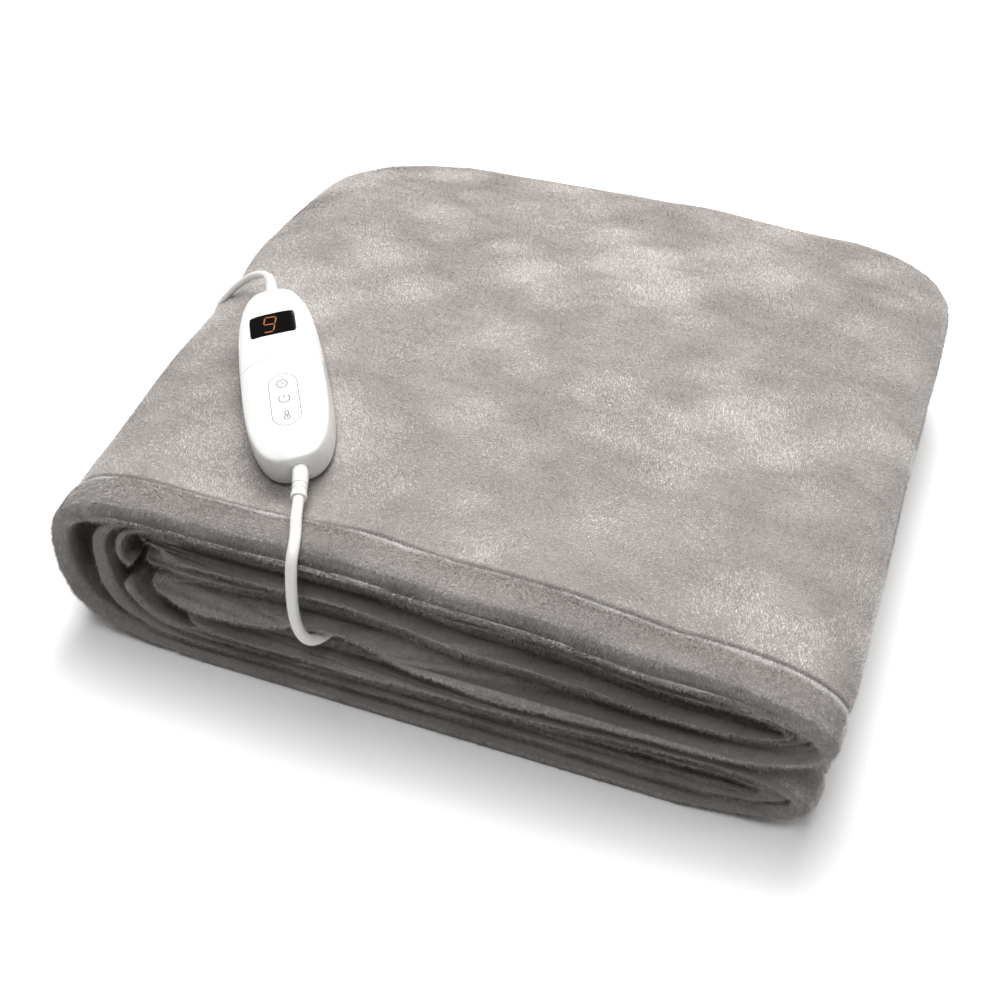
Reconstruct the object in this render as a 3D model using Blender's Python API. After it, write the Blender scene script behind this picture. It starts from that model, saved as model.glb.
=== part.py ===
"""Electric heated blanket, folded into a block, with its hand controller and mains lead.

Metres, +Z up, origin at the bottom centre of the folded block. The hem that shows is on the
near side (-Y), the two rolled ends lie to the right (+X) and the outer wrap is on the left (-X).
"""
import math
from collections import namedtuple

import bmesh
import bpy
from mathutils import Matrix, Vector
from mathutils.geometry import tessellate_polygon

MM = 0.001

# Folded block
HALF_WIDTH = 217 * MM
HALF_DEPTH = 200 * MM
SEAM_PLACE = -172 * MM
SEAM_DEPTH = 2.4 * MM
BORDER_PUFF = 1.6 * MM
RIM_INSET = 0.9 * MM
SEAM_HALF_WIDTH = 1 * MM
BORDER_START = SEAM_PLACE - 3 * MM
BORDER_FULL = SEAM_PLACE - 12 * MM
BORDER_ROUNDING = 6 * MM
RIM_ROUNDING = 5 * MM
CROWN = 0.15
CROWN_START = -178 * MM
CROWN_FULL = -25 * MM
CROWN_FADE = 40 * MM
CROWN_FAR_DROP = 0.85
CROWN_RIGHT_DROP = 0.45
RUN_STATIONS = [x * MM for x in (-130, -88, -58, -38, -8, 40, 92, 145)]
STATION_MARGIN = 8 * MM
TURN_STEPS = 6
ROLL_STEPS = 8
WRAP_STEPS = 10
ROUND_POWER = 2.0
WRAP_POWER = 2.8
FAR_RUN_IN = 8 * MM
CURL_TIP = 0.8

# Hand controller, resting near-end down on the slope of the cloth
HOUSING_LENGTH = 142 * MM
HOUSING_NEAR_WIDTH = 51 * MM
HOUSING_FAR_WIDTH = 45 * MM
HOUSING_CENTRE = Vector((-122 * MM, -87 * MM, 112.5 * MM))
HOUSING_YAW = math.radians(31.1)
HOUSING_PITCH = math.radians(7.0)
HOUSING_ROLL = math.radians(-4.6)
HOUSING_CORNER_POWER = 2.7
SEAT_REACH = 42 * MM
SEAT_FADE = 78 * MM
HOUSING_STEPS = 40
PIECE_GAP = 0.3 * MM
HOUSING_HEIGHT = 24 * MM
STEP_PLACE = 4 * MM
STEP_DROP = 0.8 * MM
DISPLAY_PLACE = 30 * MM
DISPLAY_SIZE = (16 * MM, 27 * MM)
DISPLAY_DEPTH = 1.2 * MM
DISPLAY_CORNER = 2 * MM
KEY_PAD_PLACE = -33 * MM
KEY_PAD_SIZE = (43 * MM, 17 * MM)
KEY_PAD_DEPTH = 1.0 * MM
KEY_PAD_CORNER = 8.4 * MM
LOWERED_FACE_SIZE = (100 * MM, 80 * MM)
LOWERED_FACE_CORNER = 20 * MM
CUTTER_RISE = 6 * MM
CORNER_STEPS = 7
BORE_STEPS = 24
SMOOTH_ANGLE = math.radians(35)

# Each moulding's level outlines, from the bottom up: how far inside the widest one, and how high.
Level = namedtuple("Level", "inset height")
LOWER_SHELL = [Level(5.5, 0), Level(2.6, 1.0), Level(0.9, 3.0), Level(0.2, 5.5)]
UPPER_SHELL = [
    Level(0.2, 5.8), Level(0, 9), Level(0.3, 15), Level(1.3, 19), Level(2.6, 21.8), Level(4.4, 23.4),
    Level(7.0, 24),
]

# Cords and what is on them
BLANKET_LEAD_RADIUS = 3.0 * MM
MAINS_LEAD_RADIUS = 2.2 * MM
BLANKET_LEAD_STEP = 7 * MM
MAINS_LEAD_STEP = 9 * MM
RELIEF_STEP = 3 * MM
RELIEF_ROUNDNESS = 4
CURVE_STEPS = 16
SQUARE_END = 0.8 * MM
RELIEF_HEIGHT = 12 * MM
RELIEF_LENGTH = 20 * MM
RELIEF_ROOT = 6 * MM
NEAR_EXIT_SIDE = -3.5 * MM
BORE_RADIUS = 4.7 * MM
NEAR_RELIEF_RADII = (4.3 * MM, 3.8 * MM)
FAR_RELIEF_RADII = (4.0 * MM, 2.8 * MM)
COIL_MEAN_RADIUS = 25 * MM
COIL_ACROSS = 3
COIL_UP = 3
COIL_CENTRE = Vector((-62 * MM, 250 * MM, 0))
COIL_BEVEL = 2 * MM
COIL_STEPS = 40
FLOOR_CLEARANCE = 0.1 * MM
PLUG_LENGTH = 34 * MM
PLUG_HEIGHT = 15 * MM
PLUG_WIDTH = 26 * MM
PLUG_POWER = 3.3
PLUG_STEPS = 20
PIN_LENGTH = 19 * MM
PIN_RADIUS = 2 * MM
PIN_TIP_RADIUS = 1.1 * MM
PIN_TIP_LENGTH = 1.2 * MM
PIN_PITCH = 18.6 * MM
PIN_STEPS = 12

# The plug from its cord end to its pins: shares of its length, width and height.
Bulge = namedtuple("Bulge", "along width height")
PLUG_PROFILE = [
    Bulge(0, 0.5, 0.6), Bulge(0.12, 0.68, 0.85), Bulge(0.45, 0.97, 1), Bulge(0.55, 1, 1),
    Bulge(0.97, 1, 1), Bulge(1, 0.94, 0.94),
]

# Routes by hand, in millimetres; a mains lead that lies on the floor has its middle at 2.3.
# The short lead: from the controller's near end over the front border and down to the gap
# between the two rolls.
BLANKET_LEAD = [
    (-77.9, -155.8, 114.8), (-73.9, -165.6, 113.7), (-67.5, -181.6, 113.0), (-63.4, -190.4, 112.4),
    (-60.9, -197.6, 110.9), (-59.7, -203.5, 106.2), (-59.6, -206.0, 98.0), (-60.1, -206.6, 88.5),
    (-60.6, -206.7, 79.0), (-60.5, -206.6, 68.5), (-59.4, -206.2, 60.2), (-57.4, -205.0, 53.8),
    (-54.9, -202.2, 49.8), (-52.6, -197.8, 47.9), (-50.8, -192.0, 47.2), (-49.7, -185.5, 47.0),
    (-49.1, -178.0, 46.9), (-48.9, -170.0, 46.9),
]
# The mains lead: over the left side, down it, back along the floor and round to its coil.
MAINS_LEAD = [
    (-161.1, -24.1, 133.7), (-164.3, -19.4, 134.3), (-168.3, -15.6, 134.2), (-173.2, -13.0, 133.0),
    (-178.8, -11.6, 130.4), (-184.7, -10.4, 126.4), (-190.8, -9.2, 121.2), (-196.8, -8.0, 115.4),
    (-202.6, -7.0, 109.0), (-208.2, -6.2, 102.2), (-213.0, -5.4, 94.6), (-216.6, -4.6, 86.0),
    (-219.2, -3.4, 76.0), (-220.6, -1.6, 65.0), (-221.0, 2.0, 53.0), (-220.8, 8.6, 41.0),
    (-219.8, 18.6, 29.0), (-218.4, 31.6, 18.0), (-217.0, 47.0, 9.2), (-216.1, 62.0, 4.5),
    (-215.6, 76.0, 2.7), (-215.2, 92.0, 2.35), (-213.6, 112.0, 2.3), (-209.6, 142.0, 2.3),
    (-201.0, 171.0, 2.3),
    (-186.0, 194.0, 2.3), (-165.0, 208.0, 2.3), (-139.0, 214.4, 2.3), (-111.0, 215.8, 2.3),
    (-86.0, 215.9, 2.3), (-62.0, 215.9, 2.3),
]
# The last of the lead, from the coil's right side to the plug beside it.
LEAD_TAIL = [
    (-27.9, 250.0, 2.3), (-26.5, 257.1, 2.3), (-22.5, 263.1, 2.7), (-16.5, 267.1, 3.9),
    (-9.4, 268.5, 5.5), (0.0, 268.5, 7.0), (9.0, 268.5, 7.6), (14.0, 268.5, 7.7),
]
PLUG_REAR = Vector(LEAD_TAIL[-1]) * MM

# Pocket that the short lead makes for itself where it goes in between the rolls
TUCK_PLACE = -49 * MM
TUCK_FLAT = 10 * MM
TUCK_REACH = 40 * MM
TUCK_HALF_HEIGHT = 5.2 * MM
TUCK_DEPTH = (-168 * MM, -138 * MM)

# Heights of the lines between neighbouring layers, in millimetres, at four places along the
# block, and how far the slot stands open at each of the same four places.
Line = namedtuple(
    "Line", "name left mid_left mid_right right open_left open_mid_left open_mid_right open_right"
)
LINE_PLACES = [-135 * MM, -45 * MM, 45 * MM, 145 * MM]
LINES = {
    row.name: row
    for row in [
        Line("top", 104.5, 106.5, 103.5, 96.0, 0, 0, 0, 0),
        Line("hem_a", 97.0, 99.5, 96.5, 88.0, 1.2, 1.2, 1.2, 1.2),
        Line("fold_a", 93.0, 94.4, 90.6, 82.0, 1.2, 1.2, 1.2, 1.2),
        Line("cavity_ab", 88.8, 88.5, 81.5, 71.0, 1.2, 1.2, 4.0, 9.0),
        Line("fold_b", 71.0, 73.5, 66.0, 60.8, 1.2, 1.2, 1.2, 1.2),
        Line("hem_b", 60.0, 67.0, 60.0, 55.0, 1.2, 1.2, 1.2, 1.2),
        Line("between_rolls", 37.0, 47.0, 36.5, 42.0, 1.2, 1.2, 1.2, 1.6),
        Line("hem_c", 22.5, 23.5, 28.5, 35.5, 1.2, 1.2, 1.2, 1.2),
        Line("cavity_cd", 15.5, 17.0, 20.0, 22.0, 1.2, 1.2, 4.0, 9.0),
        Line("hem_d", 9.0, 10.5, 12.0, 9.5, 1.2, 1.2, 1.2, 1.2),
        Line("bottom", 0, 0, 0, 0, 0, 0, 0, 0),
    ]
}

# How far out each turn of the cloth reaches on the left and on the right, in millimetres.
Nose = namedtuple("Nose", "name x")
NOSES = {
    row.name: row.x * MM
    for row in [
        Nose("b_hem_left", -159), Nose("b_under_left", -160), Nose("b_fold_left", -165),
        Nose("c_hem_left", -141), Nose("wrap_outer_in", -208), Nose("wrap_mid_out", -193),
        Nose("wrap_mid_in", -185.5), Nose("upper_outer_in", 205.6),
        Nose("upper_mid_out", 204.4), Nose("upper_mid_in", 198.2),
        Nose("upper_inner_out", 197), Nose("upper_cavity", 190),
        Nose("lower_out", 208), Nose("lower_outer_in", 198),
        Nose("lower_inner_out", 196.8), Nose("lower_cavity", 181), Nose("hem_slot_end", -121),
        Nose("fold_slot_end", -131), Nose("block_left", -217), Nose("block_right", 217),
    ]
}
HEM_SLOT_END = -120 * MM
CREASE_PLACE = -150 * MM
NOTCH_PLACE = -133 * MM
NOTCH_LIFT = 0.4 * MM

# Free ends that curl on the left: middle of the cloth, in millimetres.
Curl = namedtuple("Curl", "x z")
INNER_CURL = [
    Curl(-150, 90.2), Curl(-160, 88.0), Curl(-168, 83.4), Curl(-173, 76.0), Curl(-175.2, 68.0),
    Curl(-174.0, 62.0), Curl(-170.0, 58.6),
]
INNER_CURL_HALF = 1.5 * MM
LOWER_CURL = [
    Curl(-140, 19.0), Curl(-150, 19.8), Curl(-160, 23.0), Curl(-168, 29.5), Curl(-173, 38.0),
    Curl(-174, 45.0),
]
LOWER_CURL_HALF = 2.6 * MM

# Where the block's sides run, seen from above, in millimetres out from its middle.
Outline = namedtuple("Outline", "y left right")
OUTLINE = [
    Outline(-200, 213, 212),
    Outline(-150, 216, 216),
    Outline(-60, 217, 217),
    Outline(60, 217, 217),
    Outline(125, 215, 216),
    Outline(155, 207, 214),
    Outline(178, 187, 208),
    Outline(192, 162, 198),
    Outline(200, 138, 186),
]

# How far each layer's near edge lies back from the block's front, in millimetres.
SET_BACK = {
    "hem_a": 0, "fold_a": 4.5, "fold_b": 1.5, "under_b": 4.5, "hem_b": 0.0,
    "hem_c": 2.5, "fold_c": 5.5, "fold_d": 4.5, "hem_d": 0.5,
}

# Depths at which the section is drawn, front to back, in millimetres.
RINGS = [
    -200, -198, -194, -184, -175.5, -172, -168.5, -145, -112, -78, -40, 20, 85, 135, 165, 186, 196, 200,
]


def blend(low, high, value):
    """Smooth step from 0 at low to 1 at high."""
    t = min(1.0, max(0.0, (value - low) / (high - low)))
    return t * t * (3 - 2 * t)


def along(places, values, where):
    """Value at one place of a soft curve through the given ones."""
    if where <= places[0]:
        return values[0]
    for low, high, first, last in zip(places, places[1:], values, values[1:]):
        if where <= high:
            return first + (last - first) * blend(low, high, where)
    return values[-1]


def line_height(name, x):
    row = LINES[name]
    return along(LINE_PLACES, [row.left, row.mid_left, row.mid_right, row.right], x) * MM


def line_open(name, x):
    row = LINES[name]
    return along(
        LINE_PLACES, [row.open_left, row.open_mid_left, row.open_mid_right, row.open_right], x
    ) * MM


Point = namedtuple("Point", "x z back outer tuck")


class Section:
    """Outline of the folded cloth across the block, as points that go round once."""

    def __init__(self):
        self.points = []

    def add(self, x, z, back, outer=False, tuck=0):
        self.points.append(Point(x, z, back, outer, tuck))

    def edge(self, name, side, x):
        """Height of a layer's face, above (+1) or below (-1) the line next to it."""
        return line_height(name, x) + side * line_open(name, x) / 2

    def run(self, name, side, layer, rightwards, first=None):
        """Follow one face of a layer between the block's two ends."""
        stations = [x for x in RUN_STATIONS if first is None or x > first + STATION_MARGIN]
        if first is not None:
            stations = [first] + stations
        outer = name in ("top", "bottom")
        tuck = side if name == "between_rolls" else 0
        for x in stations if rightwards else reversed(stations):
            self.add(x, self.edge(name, side, x), SET_BACK[layer] * MM, outer, tuck)

    def turn(self, start, end, nose, layers, power=ROUND_POWER, steps=TURN_STEPS, outer=False):
        """Go round an end from start (x, z) to end (x, z); nose names the turn's furthest x."""
        furthest = NOSES[nose]
        middle = (start[1] + end[1]) / 2
        half = (start[1] - end[1]) / 2
        for step in range(1, steps):
            angle = math.pi * step / steps
            reach = math.sin(angle) ** (2 / power)
            level = math.copysign(abs(math.cos(angle)) ** (2 / power), math.cos(angle))
            share = step / steps
            x = start[0] + (end[0] - start[0]) * share
            back = SET_BACK[layers[0]] + (SET_BACK[layers[1]] - SET_BACK[layers[0]]) * share
            self.add(x + (furthest - x) * reach, middle + half * level, back * MM, outer)

    def curl(self, centre_line, half_thickness, layer):
        """Go out along one side of a curled free end, round its tip and back along the other."""
        sides = []
        last = len(centre_line) - 1
        for number, point in enumerate(centre_line):
            before = centre_line[max(0, number - 1)]
            after = centre_line[min(last, number + 1)]
            direction = Vector((after.x - before.x, after.z - before.z)).normalized()
            across = Vector((-direction.y, direction.x)) * half_thickness
            sides.append((Vector((point.x, point.z)) * MM, across, direction))
        for point, across, direction in sides:
            self.add(*(point + across), SET_BACK[layer] * MM)
        point, across, direction = sides[-1]
        self.add(*(point + direction * half_thickness * CURL_TIP), SET_BACK[layer] * MM)
        for point, across, direction in reversed(sides):
            self.add(*(point - across), SET_BACK[layer] * MM)


def folded_section():
    """The whole back-and-forth section, at its full width and height."""
    s = Section()
    left = RUN_STATIONS[0]
    right = RUN_STATIONS[-1]

    def at(name, side, x):
        return (x, s.edge(name, side, x))

    # Outer sub-layer: hem end of the upper roll, over the top, round the left and underneath.
    s.run("between_rolls", 1, "hem_b", False)
    s.turn(at("between_rolls", 1, left), at("hem_b", -1, left), "b_hem_left", ("hem_b", "hem_b"))
    s.run("hem_b", -1, "hem_b", True)
    s.turn(
        at("hem_b", -1, right), at("hem_a", 1, right), "upper_outer_in", ("hem_b", "hem_a"),
        steps=ROLL_STEPS,
    )
    s.run("hem_a", 1, "hem_a", False)
    s.turn(
        at("hem_a", 1, left), at("hem_d", -1, left), "wrap_outer_in", ("hem_a", "hem_d"),
        WRAP_POWER, WRAP_STEPS,
    )
    s.run("hem_d", -1, "hem_d", True)
    s.turn(at("hem_d", -1, right), at("hem_c", 1, right), "lower_outer_in", ("hem_d", "hem_c"))
    s.run("hem_c", 1, "hem_c", False, HEM_SLOT_END)
    # Blind end of the slot where the third hem turns into the fold under it.
    slot_end = (at("hem_c", 1, HEM_SLOT_END), at("hem_c", -1, HEM_SLOT_END))
    s.turn(*slot_end, "hem_slot_end", ("hem_c", "fold_c"), steps=2)
    s.run("hem_c", -1, "fold_c", True, HEM_SLOT_END)
    s.turn(at("hem_c", -1, right), at("hem_d", 1, right), "lower_inner_out", ("fold_c", "fold_d"))
    s.run("hem_d", 1, "fold_d", False)
    s.turn(
        at("hem_d", 1, left), at("hem_a", -1, left), "wrap_mid_out", ("fold_d", "fold_a"),
        WRAP_POWER, WRAP_STEPS,
    )
    s.run("hem_a", -1, "fold_a", True)
    s.turn(
        at("hem_a", -1, right), at("hem_b", 1, right), "upper_mid_out", ("fold_a", "under_b"),
        steps=ROLL_STEPS,
    )
    s.run("hem_b", 1, "under_b", False)
    # The two ends of the folded edge, one above the other.
    crease = (CREASE_PLACE, s.edge("fold_b", 0, left))
    s.turn(at("hem_b", 1, left), crease, "b_under_left", ("under_b", "under_b"))
    s.add(*crease, SET_BACK["fold_b"] * MM)
    s.turn(crease, at("cavity_ab", -1, left), "b_fold_left", ("fold_b", "fold_b"))
    s.run("cavity_ab", -1, "fold_b", True)
    s.turn(at("cavity_ab", -1, right), at("cavity_ab", 1, right), "upper_cavity", ("fold_b", "fold_a"))
    s.run("cavity_ab", 1, "fold_a", False)
    # The innermost layer's free end hangs down round the ends of the layers under it.
    s.curl(INNER_CURL, INNER_CURL_HALF, "fold_a")
    s.run("fold_a", -1, "fold_a", True)
    s.turn(at("fold_a", -1, right), at("fold_b", 1, right), "upper_inner_out", ("fold_a", "fold_b"))
    s.run("fold_b", 1, "fold_b", False)
    s.turn(at("fold_b", 1, left), at("fold_b", -1, left), "fold_slot_end", ("fold_b", "under_b"), steps=2)
    s.run("fold_b", -1, "under_b", True)
    s.turn(at("fold_b", -1, right), at("fold_a", 1, right), "upper_mid_in", ("under_b", "fold_a"))
    s.run("fold_a", 1, "fold_a", False)
    s.turn(
        at("fold_a", 1, left), at("cavity_cd", -1, left), "wrap_mid_in", ("fold_a", "fold_d"),
        WRAP_POWER, WRAP_STEPS,
    )
    s.run("cavity_cd", -1, "fold_d", True)
    s.turn(at("cavity_cd", -1, right), at("cavity_cd", 1, right), "lower_cavity", ("fold_d", "fold_c"))
    s.run("cavity_cd", 1, "fold_c", False)
    # The third fold curls up on the left, under the third hem's rounded end.
    s.curl(LOWER_CURL, LOWER_CURL_HALF, "fold_c")
    notch = (NOTCH_PLACE, s.edge("hem_c", -1, left) + NOTCH_LIFT)
    s.add(*notch, SET_BACK["hem_c"] * MM)
    s.turn(notch, at("between_rolls", -1, left), "c_hem_left", ("hem_c", "hem_c"))
    s.run("between_rolls", -1, "hem_c", True)
    s.turn(at("between_rolls", -1, right), (right, 0), "lower_out", ("hem_c", "hem_d"), outer=True)
    s.run("bottom", 0, "hem_d", False)
    s.turn((left, 0), at("top", 0, left), "block_left", ("hem_d", "hem_a"), WRAP_POWER, WRAP_STEPS, True)
    s.run("top", 0, "hem_a", True)
    end = at("between_rolls", 1, right)
    s.turn(at("top", 0, right), end, "block_right", ("hem_a", "hem_b"), steps=ROLL_STEPS, outer=True)
    return s.points


def housing_frame():
    """Axes of the controller: along it (far end +X), across it (left +Y) and up through it."""
    turn = Matrix.Rotation(HOUSING_YAW + math.pi / 2, 4, "Z")
    pitch = Matrix.Rotation(-HOUSING_PITCH, 4, "Y")
    roll = Matrix.Rotation(HOUSING_ROLL, 4, "X")
    return Matrix.Translation(HOUSING_CENTRE) @ turn @ pitch @ roll


def seat_height(x, y):
    """Height of the controller's underside over (x, y)."""
    frame = housing_frame()
    up = frame.to_3x3() @ Vector((0, 0, 1))
    away = Vector((x, y, 0)) - HOUSING_CENTRE
    return HOUSING_CENTRE.z - (away.x * up.x + away.y * up.y) / up.z


def seat_share(x, y):
    """1 under the controller, falling to 0 in the free cloth round it."""
    along_housing = housing_frame().to_3x3() @ Vector((1, 0, 0))
    axis = Vector((along_housing.x, along_housing.y)).normalized()
    away = Vector((x - HOUSING_CENTRE.x, y - HOUSING_CENTRE.y))
    reach = HOUSING_LENGTH / 2 - HOUSING_FAR_WIDTH / 2
    nearest = axis * max(-reach, min(reach, away.dot(axis)))
    return 1 - blend(SEAT_REACH, SEAT_FADE, (away - nearest).length)


def top_height(x, y):
    """Height of the block's top: crowned, lower towards its front, seated under the controller."""
    base = line_height("top", x)
    across = 1 - CROWN_RIGHT_DROP * blend(0, HALF_WIDTH, x)
    depth = blend(CROWN_START, CROWN_FULL, y) * (1 - CROWN_FAR_DROP * blend(CROWN_FADE, HALF_DEPTH, y))
    height = base * (1 + CROWN * across * depth)
    share = seat_share(x, y)
    return height + (seat_height(x, y) - PIECE_GAP - height) * share


def side_reach(x, y):
    """How much of the full width the block has at this depth, on the side where x lies."""
    depths = [row.y * MM for row in OUTLINE]
    reaches = [(row.left if x < 0 else row.right) * MM for row in OUTLINE]
    return along(depths, reaches, y) / HALF_WIDTH


def ring(section, y):
    """The section's outline as it runs at one depth."""
    outline = []
    count = len(section)
    inset = RIM_INSET * blend(HALF_DEPTH - RIM_ROUNDING, HALF_DEPTH, abs(y))
    border = 1 - blend(BORDER_FULL, BORDER_START, y)
    border *= blend(-HALF_DEPTH, -HALF_DEPTH + BORDER_ROUNDING, y)
    on_seam = abs(y - SEAM_PLACE) < SEAM_HALF_WIDTH
    for number, point in enumerate(section):
        before = section[number - 1]
        after = section[(number + 1) % count]
        outward = Vector((before.z - after.z, after.x - before.x)).normalized()
        push = -inset
        if point.outer and point.z > 0:
            push += BORDER_PUFF * border - (SEAM_DEPTH if on_seam else 0) - inset
        x = point.x + outward.x * push
        z = point.z + (outward.y * push if point.z > 0 else 0)
        tuck = TUCK_HALF_HEIGHT * (1 - blend(TUCK_FLAT, TUCK_REACH, abs(point.x - TUCK_PLACE)))
        z += point.tuck * tuck * (1 - blend(*TUCK_DEPTH, y))
        x *= side_reach(x, y)
        z *= top_height(x, y) / line_height("top", x)
        forward = 1 - blend(-HALF_DEPTH, SEAM_PLACE, y)
        run_in = FAR_RUN_IN * blend(0, HALF_WIDTH, x) * max(0, y / HALF_DEPTH)
        outline.append(Vector((x, y + point.back * forward - run_in, max(0, z))))
    return outline


def material(name, colour, roughness):
    made = bpy.data.materials.new(name)
    made.use_nodes = True
    shader = made.node_tree.nodes["Principled BSDF"]
    shader.inputs["Base Color"].default_value = (*colour, 1)
    shader.inputs["Roughness"].default_value = roughness
    shader.inputs["Metallic"].default_value = 0
    return made


def new_object(name, mesh, made_of):
    thing = bpy.data.objects.new(name, mesh)
    bpy.context.collection.objects.link(thing)
    thing.data.materials.append(made_of)
    return thing


def mesh_from(name, points, faces):
    mesh = bpy.data.meshes.new(name)
    mesh.from_pydata([tuple(p) for p in points], [], faces)
    shape = bmesh.new()
    shape.from_mesh(mesh)
    bmesh.ops.recalc_face_normals(shape, faces=shape.faces)
    shape.to_mesh(mesh)
    shape.free()
    return mesh


def make_blanket(made_of):
    """One solid: the back-and-forth section carried from front to back."""
    section = folded_section()
    count = len(section)
    points = []
    faces = []
    for y in RINGS:
        points += ring(section, y * MM)
    for number in range(len(RINGS) - 1):
        near = number * count
        far = near + count
        for a in range(count):
            b = (a + 1) % count
            faces.append((near + a, near + b, far + b, far + a))
    for first in (0, (len(RINGS) - 1) * count):
        flat = [Vector((p.x, p.z, 0)) for p in points[first:first + count]]
        for a, b, c in tessellate_polygon([flat]):
            faces.append((first + a, first + b, first + c))
    return new_object("blanket", mesh_from("blanket", points, faces), made_of)


def bulged(angle, power):
    """Point of a rounded square of half side 1 at an angle round it."""
    along_share = math.copysign(abs(math.cos(angle)) ** (2 / power), math.cos(angle))
    across_share = math.copysign(abs(math.sin(angle)) ** (2 / power), math.sin(angle))
    return along_share, across_share


def housing_outline(inset, height):
    """Level outline of the controller at one height, a given distance inside its widest one."""
    outline = []
    for step in range(HOUSING_STEPS):
        along_share, across_share = bulged(2 * math.pi * step / HOUSING_STEPS, HOUSING_CORNER_POWER)
        x = along_share * (HOUSING_LENGTH / 2 - inset)
        share = 0.5 + x / HOUSING_LENGTH
        width = HOUSING_NEAR_WIDTH + (HOUSING_FAR_WIDTH - HOUSING_NEAR_WIDTH) * share
        outline.append(Vector((x, across_share * (width / 2 - inset), height)))
    return outline


def lofted(name, outlines, made_of, frame=None):
    """Closed body through outlines with equal numbers of points, in the controller's frame or another."""
    count = len(outlines[0])
    points = [p for outline in outlines for p in outline]
    faces = [tuple(reversed(range(count)))]
    for number in range(len(outlines) - 1):
        low = number * count
        for a in range(count):
            b = (a + 1) % count
            faces.append((low + a, low + b, low + count + b, low + count + a))
    top = (len(outlines) - 1) * count
    faces.append(tuple(range(top, top + count)))
    thing = new_object(name, mesh_from(name, points, faces), made_of)
    thing.matrix_world = frame or housing_frame()
    return thing


def wider(size):
    """A piece's length and width with the running gap all round it."""
    return [side + 2 * PIECE_GAP for side in size]


def rounded_slab(name, place, size, radius, low, high, made_of, steps=CORNER_STEPS):
    """Flat piece with rounded corners lying in the controller's top, between two heights."""
    corners = []
    for turn in range(4):
        centre = Vector((
            math.copysign(size[0] / 2 - radius, math.cos(math.pi / 4 + turn * math.pi / 2)),
            math.copysign(size[1] / 2 - radius, math.sin(math.pi / 4 + turn * math.pi / 2)),
        ))
        for step in range(steps + 1):
            angle = turn * math.pi / 2 + math.pi / 2 * step / steps
            corners.append(centre + Vector((math.cos(angle), math.sin(angle))) * radius)
    return lofted(
        name,
        [[Vector((place + c.x, c.y, height)) for c in corners] for height in (low, high)],
        made_of,
    )


def cut(body, cutter):
    """Take the cutter's shape out of the body."""
    cutter.hide_render = True
    cutter.display_type = "WIRE"
    boolean = body.modifiers.new("pocket", "BOOLEAN")
    boolean.operation = "DIFFERENCE"
    boolean.solver = "EXACT"
    boolean.object = cutter


def turned(name, profile, frame, made_of, steps):
    """Round piece from (distance along, radius) pairs; the frame's +X is its axis."""
    points = []
    faces = [tuple(reversed(range(steps)))]
    for distance, radius in profile:
        for step in range(steps):
            angle = 2 * math.pi * step / steps
            points.append(Vector((distance, radius * math.cos(angle), radius * math.sin(angle))))
    for number in range(len(profile) - 1):
        low = number * steps
        for a in range(steps):
            b = (a + 1) % steps
            faces.append((low + a, low + b, low + steps + b, low + steps + a))
    top = (len(profile) - 1) * steps
    faces.append(tuple(range(top, top + steps)))
    thing = new_object(name, mesh_from(name, points, faces), made_of)
    thing.matrix_world = frame
    smooth(thing)
    return thing


def smooth(thing):
    thing.data.shade_smooth()
    thing.data.set_sharp_from_angle(angle=SMOOTH_ANGLE)


def lead_exit(end):
    """Frame in which a lead leaves the housing along +X, at its near (-1) or far (+1) end."""
    side = NEAR_EXIT_SIDE if end < 0 else 0
    out = Matrix.Translation((end * HOUSING_LENGTH / 2, side, RELIEF_HEIGHT))
    facing = Matrix.Rotation(0 if end > 0 else math.pi, 4, "Z")
    return housing_frame() @ out @ facing


def make_controller(shell, window_black, pad_white):
    lower = lofted(
        "controller_lower_shell",
        [housing_outline(level.inset * MM, level.height * MM) for level in LOWER_SHELL],
        shell,
    )
    upper = lofted(
        "controller_upper_shell",
        [housing_outline(level.inset * MM, level.height * MM) for level in UPPER_SHELL],
        shell,
    )
    face = HOUSING_HEIGHT - STEP_DROP
    display_floor = face - DISPLAY_DEPTH
    pad_floor = HOUSING_HEIGHT - KEY_PAD_DEPTH
    above = HOUSING_HEIGHT + CUTTER_RISE
    # The part of the top that holds the display lies a little lower than the key side.
    lowered = rounded_slab(
        "cut_lowered_face", STEP_PLACE + LOWERED_FACE_SIZE[0] / 2, LOWERED_FACE_SIZE,
        LOWERED_FACE_CORNER, face, above, shell,
    )
    display_cut = rounded_slab(
        "cut_display", DISPLAY_PLACE, wider(DISPLAY_SIZE), DISPLAY_CORNER + PIECE_GAP,
        display_floor - PIECE_GAP, above, shell,
    )
    pad_cut = rounded_slab(
        "cut_key_pad", KEY_PAD_PLACE, wider(KEY_PAD_SIZE), KEY_PAD_CORNER + PIECE_GAP,
        pad_floor - PIECE_GAP, above, shell,
    )
    for cutter in (lowered, display_cut, pad_cut):
        cut(upper, cutter)
    rounded_slab(
        "display_window", DISPLAY_PLACE, DISPLAY_SIZE, DISPLAY_CORNER, display_floor, face, window_black,
    )
    rounded_slab(
        "key_pad", KEY_PAD_PLACE, KEY_PAD_SIZE, KEY_PAD_CORNER, pad_floor, HOUSING_HEIGHT, pad_white,
    )
    for end in (-1, 1):
        bore = turned(
            "cut_relief_bore", [(-RELIEF_ROOT - PIECE_GAP, BORE_RADIUS), (RELIEF_LENGTH, BORE_RADIUS)],
            lead_exit(end), shell, BORE_STEPS,
        )
        cut(upper, bore)
    smooth(lower)
    smooth(upper)


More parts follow.
